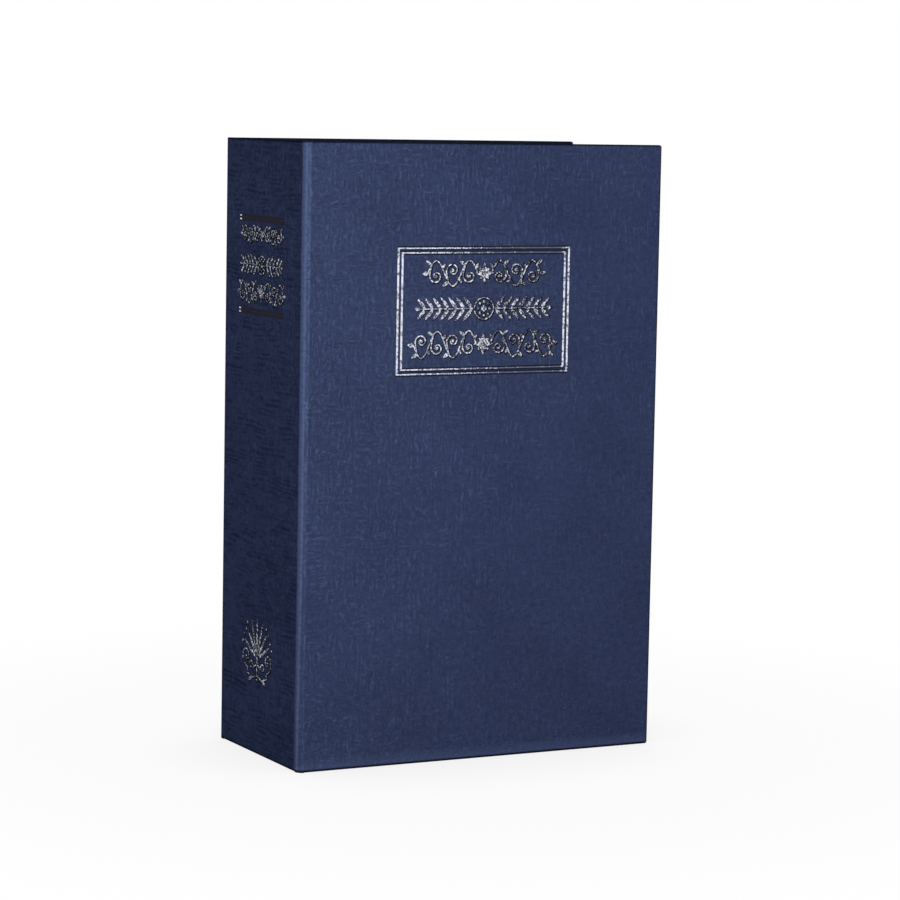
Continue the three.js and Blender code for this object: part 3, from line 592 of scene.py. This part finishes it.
# The nick along a mitre of the turn-ins.
NICK_DEPTH, NICK_HALF, NICK_LENGTH = 0.12, 0.13, 9.0

# The endpapers, the slope at the turn-ins' edges, and how high and wide a mitre lifts them.
PAPER_THICKNESS, PAPER_STEP, PAPER_OVER = 0.13, 0.9, 0.2
MITRE_RISE, MITRE_HALF = 0.05, 0.9
GRID_FINE, GRID_COARSE = 0.5, 12.0

front_skin = FRONT_Y + FOIL_RISE
back_skin = BACK_Y - FOIL_RISE
spine_skin = SPINE_X + FOIL_RISE


def wrapped_slab(outer_y, inward):
    """A cover board in its wrap: its head, tail and fore edge are rounded, its joint side isn't."""
    bm = bmesh.new()
    bmesh.ops.create_cube(bm, size=1.0)
    right, top, bottom = FORE_X - FOIL_RISE, HEIGHT - FOIL_RISE, FOIL_RISE
    size = Vector((right - JOINT_X, SKIN_DEPTH, top - bottom))
    middle = Vector((right + JOINT_X, 2 * outer_y + inward * SKIN_DEPTH, top + bottom)) / 2
    for vert in bm.verts:
        vert.co = vert.co * size + middle
    round_edges = [e for e in bm.edges if any(v.co.x > JOINT_X + FOIL_RISE for v in e.verts)]
    bmesh.ops.bevel(bm, geom=round_edges, offset=EDGE_RADIUS, segments=EDGE_STEPS,
                    profile=0.5, affect="EDGES")
    return from_bmesh(bm)


def lined_slab(outer_y, inward):
    """A wrapped board whose turn-ins stand round a sunk middle, and meet at mitred corners."""
    inner = outer_y + inward * SKIN_DEPTH
    past, sunk, nicked = (inner + inward * rise for rise in (1.0, -TURN_IN_STEP, -NICK_DEPTH))
    window = pocket((LINING_EDGE, TURN_IN), (FORE_X - TURN_IN, HEIGHT - TURN_IN), WINDOW_CORNER,
                    ((past, 0.0), (sunk, 0.0)))
    section = ((-1.0, past), (1.0, past), (0.1, nicked), (-0.1, nicked))
    nicks = []
    for z, way in ((0.0, 1), (HEIGHT, -1)):
        along, across = Vector((-1.0, 0.0, way)), Vector((NICK_HALF, 0.0, NICK_HALF * way))
        start = Vector((FORE_X + 1.0, 0.0, z - way))
        nicks.append(lofted([
            [point + across * share + Vector((0.0, y, 0.0)) for share, y in section]
            for point in (start, start + along * NICK_LENGTH)]))
    return carved(wrapped_slab(outer_y, inward), [window, *nicks])


def cover_paper(outer_y, inward, mirrored_about=None):
    """Where a cover's faces lie on the flat sheet of wrap."""

    def place(normal, point, _):
        depth = (point.y - outer_y) * inward
        u, v = point.x, point.z
        if abs(normal.x) > max(abs(normal.y), abs(normal.z)):
            u = FORE_X + depth if normal.x > 0 else u
        elif abs(normal.z) > abs(normal.y):
            v = HEIGHT + depth if normal.z > 0 else -depth
        elif normal.y * inward > 0:
            v = 2 * HEIGHT - v
        return u if mirrored_about is None else mirrored_about - u, v

    return place


front_wrap = piece("front_cover_wrapped", *lined_slab(front_skin, 1), wrap_finish,
                   cover_paper(front_skin, 1))
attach(front_wrap, "front_cover")
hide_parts("front_cover_wrap")

# Past the spine the sheet runs on to the back cover, so its places count on from there.
back_wrap = piece("back_cover_wrapped", *lined_slab(back_skin, -1), wrap_finish,
                  cover_paper(back_skin, -1, BACK_FOLD_U))
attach(back_wrap, "case")
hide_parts("back_cover_wrap")


def smooth(t):
    """0 below 0, 1 above 1, and smoothly between them."""
    t = min(max(t, 0.0), 1.0)
    return t * t * (3 - 2 * t)


def stations(start, end, plain_from, plain_to):
    """Places from start to end: coarsely spaced over the plain middle, finely beside it."""
    places, at = [start], start
    while at < end - GRID_FINE:
        near = at < plain_from or at > plain_to
        at = min(at + (GRID_FINE if near else GRID_COARSE), end)
        if not near and at > plain_to:
            at = plain_to + GRID_FINE * 0.01
        places.append(at)
    if places[-1] < end:
        places.append(end)
    return places


def endpaper_sheet(name, node, left, outer_y, inward, body):
    """Paper pasted over the turn-ins, whose edges and mitres show through it as soft steps."""
    low, high = (Vector(corner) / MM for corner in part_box(node))
    xs = stations(left, high.x, LINING_EDGE + 2.0, FORE_X - TURN_IN - 1.5)
    zs = stations(low.z, high.z, TURN_IN + 1.5, HEIGHT - TURN_IN - 1.5)

    def face(x, z, under):
        from_edges = (FORE_X - TURN_IN - x, x - LINING_EDGE, z - TURN_IN, HEIGHT - TURN_IN - z)
        sunk = smooth(min(from_edges) / PAPER_STEP)
        off_mitre = abs((FORE_X - x) - min(z, HEIGHT - z))
        lap = MITRE_RISE * smooth(1 - off_mitre / MITRE_HALF) * (1 - sunk)
        depth = COVER_DEPTH + PAPER_OVER - MITRE_RISE + lap - sunk * (TURN_IN_STEP + 0.02)
        return x, outer_y + inward * (depth - under), z

    loops = [[face(x, z, 0.0) for x in xs] + [face(x, z, PAPER_THICKNESS) for x in reversed(xs)]
             for z in zs]
    sheet = piece(name, *lofted(loops), paper_finish, smooth_angle=60)
    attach(sheet, body)
    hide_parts(node)


endpaper_sheet("front_endpaper_sheet", "front_endpaper", -52.55, FRONT_Y, 1, "front_cover")
endpaper_sheet("back_endpaper_sheet", "back_endpaper", -55.5, BACK_Y, -1, "case")


# ---- the spine and the two joints

# The front joint's wrap, and how far its bend's control points reach: it's tight at the spine
# and easy towards the cover. The back joint's wrap is folded round the board's edges.
JOINT_SKIN, JOINT_TIGHT, JOINT_EASY, JOINT_STEPS = 0.62, 0.30, 1.35, 14
FOLD_SKIN, FOLD_RADIUS = 0.5, 0.6


def ring_of(depth, rounding):
    """A section of a wrapped board as depth and height: up its face, over the head, down inside."""
    low, high = FOIL_RISE + rounding, HEIGHT - FOIL_RISE - rounding
    outer, inner = rounding, depth - rounding
    corners = ((outer, low), (outer, high), (inner, high), (inner, low))
    return [point for i, corner in enumerate(corners)
            for point in quarter(corner, rounding, 3 - i, EDGE_STEPS, -1)]


def swept_piece(name, plan, material):
    """A wrap swept along a plan: point, inward direction, depth, rounding, place on the sheet."""
    loops, places = [], []
    for (x, y), inward, depth, rounding, along in plan:
        ring = ring_of(depth, rounding)
        loops.append([(x + inward[0] * d, y + inward[1] * d, z) for d, z in ring])
        places += [(along, z + (d if z > HEIGHT / 2 else -d)) for d, z in ring]
    return piece(name, *lofted(loops), material, lambda normal, point, index: places[index])


def bezier(points, t):
    """The place at t on the curve that control points give."""
    while len(points) > 1:
        points = [[a + (b - a) * t for a, b in zip(*pair)] for pair in zip(points, points[1:])]
    return points[0]


def bent_corner():
    """Points and outward directions round the joint that opens, from the spine to the cover.

    They are distances from the corner that the spine's and the cover's faces would make.
    """
    reach = JOINT_RADIUS
    ends = [(0.0, reach), (0.0, reach - JOINT_TIGHT), (reach - JOINT_EASY, 0.0), (reach, 0.0)]
    slopes = [(b[0] - a[0], b[1] - a[1]) for a, b in zip(ends, ends[1:])]
    curve = []
    for i in range(JOINT_STEPS + 1):
        across, up = bezier(slopes, i / JOINT_STEPS)
        length = math.hypot(across, up)
        curve.append((bezier(ends, i / JOINT_STEPS), (up / length, -across / length)))
    return curve


def folded_corner():
    """The same for the joint that doesn't open."""
    r = FOLD_RADIUS
    curve = [((a, b), (a / r - 1, b / r - 1)) for a, b in quarter((r, r), r, 2, EDGE_STEPS)]
    return [((0.0, JOINT_RADIUS), (-1.0, 0.0)), *curve, ((JOINT_RADIUS, 0.0), (0.0, -1.0))]


def joint_plan(curve, face_y, inward, depth, along, step):
    """The plan of a joint, from the spine to the cover whose face is at face_y.

    Its places on the sheet start at along and go its way, which is a step of 1 or -1.
    """
    plan, last = [], None
    for (dx, dy), out in curve:
        point = (spine_skin + dx, face_y + inward * dy)
        along += step * math.dist(point, last or point)
        last = point
        plan.append((point, (-out[0], -out[1] * inward), depth, min(depth / 2.2, EDGE_RADIUS),
                     along))
    return plan


front_centre = FRONT_Y + JOINT_RADIUS
back_centre = BACK_Y - JOINT_RADIUS
front_curve = bent_corner()
spine_start = JOINT_X - sum(math.dist(a[0], b[0]) for a, b in zip(front_curve, front_curve[1:]))
strip = swept_piece(
    "front_joint_strip",
    joint_plan(front_curve, front_skin, 1, JOINT_SKIN, spine_start, 1), joint_finish)
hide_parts("front_hinge_strip")
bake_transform(strip)

spine_wrap = swept_piece("spine_wrapped", [
    ((spine_skin, y), (1.0, 0.0), SKIN_DEPTH, EDGE_RADIUS, spine_start - (y - front_centre))
    for y in (front_centre, front_centre + 0.5, 0.0, back_centre - 0.5, back_centre)
], wrap_finish)
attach(spine_wrap, "case")
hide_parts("spine_wrap")
back_strip = swept_piece(
    "back_joint_strip",
    joint_plan(folded_corner(), back_skin, -1, FOLD_SKIN,
               spine_start - (back_centre - front_centre), -1), wrap_finish)
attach(back_strip, "case")


# ---- the moulded pages

MOUTH_LOW, MOUTH_HIGH, MOUTH_FLOOR = (-46.95, 11.5), (46.5, 168.5), -12.6
WELL_HIGH, WELL_FLOOR = (-40.49, 168.5), -5.7
SEAT_LOW, SEAT_HIGH = (-40.89, 13.1), (44.9, 166.9)
MOUTH_CORNER, SEAT_CORNER = 1.0, 1.2
PAGE_LINE, PAGE_LINE_SPREAD = 0.42, 0.16
PAGE_DEEP, PAGE_SHALLOW, PAGE_LAND = 0.30, 0.10, 0.07
PAGE_EDGE = 0.5
PAGE_MARGIN = 0.9

# The front edges of the block and of its mouth: how far behind the front, and how far cut back.
BLOCK_LIP = ((0.0, 0.30), (0.10, 0.12), (0.28, 0.0), (PAGE_MARGIN, 0.0))
MOUTH_LIP = ((-1.0, 0.45), (0.0, 0.45), (0.12, 0.2), (0.32, 0.05), (0.5, 0.0))


def page_solid(low, high, rng):
    """The block of pages: uneven fine lines run round its head, tail and fore edge."""
    levels = [(low.y + behind, inset) for behind, inset in BLOCK_LIP]
    y = levels[-1][0]
    while y < high.y - PAGE_MARGIN:
        line = PAGE_LINE + PAGE_LINE_SPREAD * (rng.random() * 2 - 1)
        land = PAGE_LAND * rng.random()
        groove = PAGE_SHALLOW + (PAGE_DEEP - PAGE_SHALLOW) * rng.random() ** 2
        levels += [(y + line * 0.45, land), (y + line * 0.72, groove), (y + line, land)]
        y += line
    levels.append((high.y, 0.0))
    loops = []
    for y, inset in levels:
        loop = [(low.x, high.z - inset), (low.x, low.z + inset)]
        for start, z in ((-1, low.z + PAGE_EDGE), (0, high.z - PAGE_EDGE)):
            loop += quarter((high.x - PAGE_EDGE, z), PAGE_EDGE - inset, start, 3)
        loops.append([(x, y, z) for x, z in loop])
    return lofted(loops)


def page_block():
    low, high = (Vector(corner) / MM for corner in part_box("page_frame"))
    front, behind = low.y, high.y + 1.0
    lip = [(front + y, grow) for y, grow in MOUTH_LIP]
    cutters = [
        pocket(MOUTH_LOW, MOUTH_HIGH, MOUTH_CORNER, [*lip, (MOUTH_FLOOR, 0.0)]),
        pocket(MOUTH_LOW, WELL_HIGH, MOUTH_CORNER, [(front + 4.0, 0.0), (WELL_FLOOR, 0.0)]),
        pocket(SEAT_LOW, SEAT_HIGH, SEAT_CORNER, [(front + 5.0, 0.0), (behind, 0.0)]),
    ]
    solid = page_solid(low, high, random.Random(11))
    block = piece("page_block", *carved(solid, cutters), page_finish)
    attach(block, "case")
    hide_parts("page_frame")


page_block()


# ---- foil stamping: rules, and scrolls in the way of bookbinders' tools

# Shapes lie at a few heights in turn, so that tops which cross don't share a plane.
HEIGHT_STEP, HEIGHT_STEPS = 0.035, 8

# How far the tool's mark, painted shade of the pressed edge, reaches past a rule, as shares of its
# margin.
SHADE_REACH_SIDE, SHADE_REACH_LEVEL = 0.4, 1.6


def turned(a, b, angle, along, across=0.0):
    """The place along and across a direction, in degrees, from a, b."""
    c, s = math.cos(math.radians(angle)), math.sin(math.radians(angle))
    return a + along * c - across * s, b + along * s + across * c


def circle(a, b, radius, sides):
    """Points round a, b."""
    return [turned(a, b, 360 * i / sides, radius) for i in range(sides)]


class Stamp:
    """Flat shapes of foil, drawn in millimetres to the right and up, raised off one face.

    The margin widens every shape, and the height is a share of the foil's.
    """

    def __init__(self, margin=0.0, height=1.0):
        self.verts, self.faces, self.count = [], [], 0
        self.margin, self.height = margin, height

    def raise_outline(self, outline, quads=None):
        """A thin prism on an anticlockwise outline; quads are its top, if that isn't one face."""
        top = FOIL_RISE * (self.height - HEIGHT_STEP * (self.count % HEIGHT_STEPS))
        self.count += 1
        n, base = len(outline), len(self.verts)
        self.verts += [(a, b, top) for a, b in outline]
        self.verts += [(a, b, -FOIL_RISE) for a, b in outline]
        for quad in quads or [tuple(range(n))]:
            self.faces.append(tuple(base + i for i in quad))
            self.faces.append(tuple(base + n + i for i in reversed(quad)))
        for i in range(n):
            j = (i + 1) % n
            self.faces.append((base + i, base + n + i, base + n + j, base + j))

    def ribbon(self, points, widths):
        """A line whose width changes along it; widths is one number or one for each end."""
        first, last = widths if isinstance(widths, tuple) else (widths, widths)
        left, right, n = [], [], len(points)
        for i, (a, b) in enumerate(points):
            (a0, b0), (a1, b1) = points[max(i - 1, 0)], points[min(i + 1, n - 1)]
            length = math.hypot(a1 - a0, b1 - b0)
            across = (-(b1 - b0) / length, (a1 - a0) / length)
            half = (first + (last - first) * i / (n - 1)) / 2 + self.margin
            left.append((a + across[0] * half, b + across[1] * half))
            right.append((a - across[0] * half, b - across[1] * half))
        quads = [(2 * n - 1 - i, i, i + 1, 2 * n - 2 - i) for i in range(n - 1)]
        self.raise_outline(right + left[::-1], quads)

    def leaf(self, a, b, angle, length, width):
        """A pointed leaf from its stalk at a, b, widest a third of the way along."""
        outline, steps = [], 7
        for side, order in ((1, range(steps + 1)), (-1, range(steps - 1, 0, -1))):
            for i in order:
                t = i / steps
                half = side * (width + self.margin) * 1.3 * math.sqrt(t) * (1 - t) ** 0.9
                outline.append(turned(a, b, angle, t * (length + self.margin), half))
        self.raise_outline(outline[::-1])

    def disc(self, a, b, radius, sides=12):
        self.raise_outline(circle(a, b, radius + self.margin, sides))

    def frame(self, left, bottom, right, top, upright_width, level_width):
        """A rule round a rectangle, mitred at its corners; its dark mark, painted shade of the
        pressed edge, is wider along its levels.
        """
        side, flat = self.margin * SHADE_REACH_SIDE, self.margin * SHADE_REACH_LEVEL
        outer = [(left - side, bottom - flat), (right + side, bottom - flat),
                 (right + side, top + flat), (left - side, top + flat)]
        across, up = upright_width + side, level_width + flat
        inner = [(left + across, bottom + up), (right - across, bottom + up),
                 (right - across, top - up), (left + across, top - up)]
        for i in range(4):
            j = (i + 1) % 4
            self.raise_outline([outer[i], outer[j], inner[j], inner[i]])

    def scroll(self, a, b, radius, start, turns, widths, shrink=0.22):
        """A volute round a, b: it starts at an angle and winds in, clockwise where turns is minus."""
        steps = max(10, int(abs(turns) * 22))
        points = []
        for i in range(steps + 1):
            t = i / steps
            r = radius * (1 - (1 - shrink) * t ** 0.85)
            points.append(turned(a, b, start + turns * 360 * t, r))
        self.ribbon(points, widths)

    def mirrored(self, draw):
        """Draws once to the right, and once more mirrored to the left."""
        first_vert, first_face = len(self.verts), len(self.faces)
        draw()
        drawn, faces = self.verts[first_vert:], self.faces[first_face:]
        self.verts += [(-a, b, h) for a, b, h in drawn]
        self.faces += [tuple(i + len(drawn) for i in reversed(face)) for face in faces]

    def shifted(self, da, db, draw, *sizes):
        """Draws round 0, 0 and moves it to da, db."""
        first = len(self.verts)
        draw(self, *sizes)
        self.verts[first:] = [(a + da, b + db, h) for a, b, h in self.verts[first:]]


def vine_row(stamp, half_width, half_height, waves, line):
    """A running vine, mirrored about a small flower: a waved stem with a scroll in each hollow."""
    flower = half_height * 0.62
    stem_start = flower * 0.9
    pitch = (half_width - stem_start) / waves
    swing = half_height - line / 2

    def half():
        steps = 12 * waves
        stem = []
        for i in range(steps + 1):
            a = stem_start + (half_width - stem_start) * i / steps
            stem.append((a, swing * math.sin(math.pi * (a - stem_start) / pitch)))
        stamp.ribbon(stem, (line, line * 0.7))
        for k in range(waves):
            side = 1 if k % 2 == 0 else -1
            crest = stem_start + (k + 0.5) * pitch
            radius = min(0.40 * pitch, 0.72 * half_height)
            low = -side * (half_height - radius - line / 2) * 0.55
            start = side * 12
            branch = (crest + pitch * 0.27, side * swing * math.cos(math.pi * 0.27))
            stamp.ribbon([branch, turned(crest, low, start, radius)], line * 0.8)
            stamp.scroll(crest, low, radius, start, -side * 1.25, (line, line * 0.6))
            stamp.disc(crest, low, line * 0.95)
            stamp.leaf(*branch, side * 35, pitch * 0.42, half_height * 0.24)
            stamp.leaf(crest - pitch * 0.36, side * swing * 0.42, side * 128, pitch * 0.30,
                       half_height * 0.20)
        stamp.leaf(half_width - 0.1, 0.0, 0.0, half_height * 0.5, half_height * 0.3)

    stamp.mirrored(half)
    for i, root in enumerate(circle(0, 0, 0.22 * flower, 8)):
        stamp.leaf(*root, i * 45, flower * (1.0 if i % 2 == 0 else 0.7), flower * 0.46)
    stamp.disc(0, 0, 0.2 * flower)


def laurel_row(stamp, half_width, half_height, pairs, line):
    """A laurel branch to each side of a beaded roundel, berries between its leaves."""
    ring = half_height * 0.80
    roundel = [turned(0, 0, 360 * i / 28, ring) for i in range(29)]
    stamp.ribbon(roundel, line * 0.8)
    stamp.disc(0, 0, 0.30 * ring)
    for bead in circle(0, 0, 0.62 * ring, 8):
        stamp.disc(*bead, 0.13 * ring, 8)
    start = ring + line
    pitch = (half_width - start) / (pairs + 0.55)

    def half():
        stamp.ribbon([(start, 0.0), (half_width - pitch * 0.6, 0.0)], (line, line * 0.6))
        for k in range(pairs):
            root = start + (k + 0.12) * pitch
            reach = half_height * (1.18 - 0.22 * k / pairs)
            for side in (1, -1):
                stamp.leaf(root, side * line * 0.3, side * 50, reach, half_height * 0.25)
                stamp.disc(root + pitch * 0.92, side * half_height * 0.62, line * 0.42, 8)
        stamp.leaf(half_width - pitch * 0.85, 0.0, 0.0, pitch * 0.85, half_height * 0.26)

    stamp.mirrored(half)


def palmette(stamp, half_width, height, line):
    """A fan of leaves over two pairs of volutes, symmetrical, standing on 0, 0."""
    heart = height * 0.36

    def half():
        for i, angle in enumerate((70, 50, 28)):
            root = turned(0, heart, angle, line * 2.0)
            stamp.leaf(*root, angle, height * (0.56 - 0.05 * i), height * 0.052)
        volute = height * 0.17
        centre = (half_width - volute - line, height * 0.36)
        root = turned(*centre, -100, volute)
        stamp.ribbon([(0.0, height * 0.10), (half_width * 0.32, height * 0.055),
                      (half_width * 0.6, height * 0.10), root], (line * 0.8, line))
        stamp.scroll(*centre, volute, -100, 1.15, (line, line * 0.55))
        stamp.disc(*centre, line * 0.8)
        small = height * 0.085
        low = (half_width * 0.36, height * 0.24)
        stamp.scroll(*low, small, -160, -1.0, (line * 0.9, line * 0.5))
        stamp.ribbon([(0.0, heart * 0.8), turned(*low, -160, small)], (line, line * 0.9))
        stamp.leaf(half_width * 0.30, height * 0.07, -30, height * 0.17, height * 0.055)
        for i in range(4):
            stamp.disc(half_width * (0.90 - 0.10 * i), height * (0.57 + 0.10 * i), line * 0.9)

    stamp.mirrored(half)
    stamp.leaf(0.0, heart + line * 1.2, 90, height * 0.60, height * 0.062)
    stamp.disc(0.0, heart, line)
    stamp.ribbon([(0.0, height * 0.10), (0.0, heart)], line * 0.7)
    stamp.disc(0.0, height * 0.035, line * 0.7)


def draw_rows(middle, rows, stamp):
    """Draws rows of ornament one above another."""
    for level, row, *sizes in rows:
        stamp.shifted(middle, level, row, *sizes)


def draw_front_rules(stamp):
    for inset in (0.0, FRONT_RULE_STEP):
        stamp.frame(FRONT_LEFT + inset, FRONT_BOTTOM + inset, FRONT_RIGHT - inset,
                    FRONT_TOP - inset, FRONT_RULE, FRONT_LEVEL_RULE)


def draw_spine_rules(stamp):
    left, right = SPINE_MIDDLE - SPINE_RULE_HALF, SPINE_MIDDLE + SPINE_RULE_HALF
    for level in SPINE_RULE_LEVELS:
        stamp.ribbon([(left, level), (right, level)], SPINE_RULE)


FRONT_MIDDLE = (FRONT_LEFT + FRONT_RIGHT) / 2
FRONT_RULE, FRONT_LEVEL_RULE, FRONT_RULE_STEP = 0.60, 0.38, 1.32
SPINE_MIDDLE = -1.6
SPINE_RULE, SPINE_RULE_HALF = 0.46, 15.8
SPINE_RULE_LEVELS = (129.42, 130.47, 156.53, 157.58)

# Each row's level, drawing, half width, half height, repeats and width of line. The palmette has
# its whole height and no repeats.
FRONT_ROWS = (
    (142.6, vine_row, 18.4, 3.9, 3, 0.46), (132.4, laurel_row, 22.6, 3.9, 7, 0.42),
    (122.1, vine_row, 22.6, 4.1, 4, 0.46),
)
SPINE_ROWS = (
    (152.4, vine_row, 14.2, 2.6, 3, 0.42), (143.6, laurel_row, 15.6, 3.3, 5, 0.42),
    (135.5, vine_row, 15.6, 3.4, 3, 0.45), (21.4, palmette, 11.4, 19.4, 0.54),
)

# The tool's mark round the foil, dark as painted shade of its pressed edge: how wide, how high, and
# which way it lies aside, towards the shaded side.
PRESS_MARGIN, PRESS_HEIGHT = 0.26, 0.45
PRESS_SHADE_SKEW = (0.45, -0.3)


def on_front(a, b, h):
    """A drawn point, so far right, up and out, as it lies on the front."""
    return a, front_skin - h, b


def on_spine(a, b, h):
    return spine_skin - h, -a, b


def flat_paper(normal, point, _):
    """Places on the sheet for stamped shapes, which all lie in the front or in the spine."""
    return point.x + point.y, point.z


def stamped(name, draw, place, foil, body, skew=PRESS_SHADE_SKEW, under=press_shade_finish):
    """A foil piece, and under it the slightly wider mark that the hot tool pressed. Round the scrolls
    and the front's frame that mark is painted shade of the pressed edge, and skew lies it towards the
    shaded side.
    """
    for part_name, stamp, material, slot_name in (
            (name, Stamp(), foil, "silver_foil"),
            (name + "_press", Stamp(PRESS_MARGIN, PRESS_HEIGHT), under, "book_wrap")):
        draw(stamp)
        right, up = stamp.margin * skew[0], stamp.margin * skew[1]
        verts = [place(a + right, b + up, h) for a, b, h in stamp.verts]
        made = piece(part_name, verts, stamp.faces, material, flat_paper, 20)
        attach(made, body)


stamped("front_rules", draw_front_rules, on_front, front_rule_foil, "front_cover", (0.0, 0.0),
        frame_shade_finish)
stamped("front_scrolls", functools.partial(draw_rows, FRONT_MIDDLE, FRONT_ROWS), on_front,
        front_foil, "front_cover")
stamped("spine_rules", draw_spine_rules, on_spine, rule_foil, "case", (0.0, 0.0), ruled_finish)
stamped("spine_scrolls", functools.partial(draw_rows, SPINE_MIDDLE, SPINE_ROWS), on_spine,
        spine_foil, "case")


# ---- camera, light, floor and surroundings

# The camera that was fitted to the photograph: metres, degrees and millimetres of lens.
CAMERA_AT = (-0.43421, -0.84984, 0.19237)
CAMERA_AZIMUTH, CAMERA_ELEVATION, CAMERA_ROLL = -27.251, 6.227, 1.063
CAMERA_LENS, CAMERA_SENSOR = 128.622, 36.0

BOOK_MIDDLE = Vector((0.0, 0.0, 0.09))
AMBIENT, FLOOR_GREY, WHITE = (0.22, 0.22, 0.225), (0.5, 0.5, 0.5), (1.0, 1.0, 1.0)


def aimed(azimuth, elevation, roll=0.0):
    """How a camera or a lamp is turned that looks back at the book from a direction."""
    a, e, r = (math.radians(angle) for angle in (azimuth, elevation, roll))
    return (Matrix.Rotation(a, 4, "Z") @ Matrix.Rotation(math.pi / 2 - e, 4, "X")
            @ Matrix.Rotation(r, 4, "Z"))


def place_camera():
    camera = placed("camera", bpy.data.cameras.new("camera"))
    camera.data.lens, camera.data.sensor_width = CAMERA_LENS, CAMERA_SENSOR
    camera.data.clip_start, camera.data.clip_end = 0.05, 50.0
    turn = aimed(CAMERA_AZIMUTH, CAMERA_ELEVATION, CAMERA_ROLL)
    camera.matrix_world = Matrix.Translation(CAMERA_AT) @ turn
    bpy.context.scene.camera = camera


def softbox(name, azimuth, elevation, distance, size, watts):
    """An area lamp at a direction from the book's middle, facing it."""
    lamp = bpy.data.lights.new(name, "AREA")
    lamp.shape, lamp.energy = "RECTANGLE", watts
    lamp.size, lamp.size_y = size
    made = placed(name, lamp)
    turn = aimed(azimuth, elevation)
    made.matrix_world = Matrix.Translation(BOOK_MIDDLE + turn.col[2].xyz * distance) @ turn


def seen_directly(nodes):
    """1 for camera, mirror and see-through rays, 0 for the rays that carry soft light."""
    path = nodes.make("ShaderNodeLightPath")
    return nodes.largest(path["Is Camera Ray"], path["Is Glossy Ray"], path["Is Transmission Ray"])


def surroundings():
    """A backdrop that is white to look at and lights the book with a low grey."""
    world = bpy.data.worlds.new("studio")
    bpy.context.scene.world = world
    nodes = Nodes(world)
    background = nodes.tree.nodes["Background"].inputs
    nodes.feed(background["Color"], nodes.colour(seen_directly(nodes), AMBIENT, WHITE))
    nodes.feed(background["Strength"], 1.0)


def floor():
    """A grey floor that is white to look at, a little shaded near the book."""
    half = 6.0
    corners = [(-half, -half, 0), (half, -half, 0), (half, half, 0), (-half, half, 0)]
    made = meshed("floor", corners, [(0, 1, 2, 3)])
    shader = Shader("white_floor")
    made.data.materials.append(shader.set(color=FLOOR_GREY, roughness=0.9, specular=0.1))
    near = shader.make("ShaderNodeAmbientOcclusion", {"Distance": 0.06}, samples=8)["AO"]
    shade = shader.span(near, 0.35, 1.0, 0.90, 1.0)
    glow = shader.make("ShaderNodeEmission", {"Color": shade, "Strength": 1.0})[0]
    away = shader.make("ShaderNodeVectorMath", {0: shader.place}, operation="LENGTH")["Value"]
    share = shader.times(seen_directly(shader), shader.span(away, 90.0, 260.0, 0.95, 1.0))
    mixed = shader.make("ShaderNodeMixShader", {0: share, 1: shader.surface.outputs[0], 2: glow})
    shader.feed(shader.tree.nodes["Material Output"].inputs["Surface"], mixed[0])


place_camera()
surroundings()
floor()
softbox("key", -21.5, 22, 0.80, (0.26, 0.30), 5.35)
softbox("fill_right", 40, 25, 1.2, (0.8, 0.8), 1.9)
softbox("fill_back", 170, 40, 1.4, (1.0, 1.0), 5.0)

bpy.context.scene.view_settings.view_transform = "Standard"
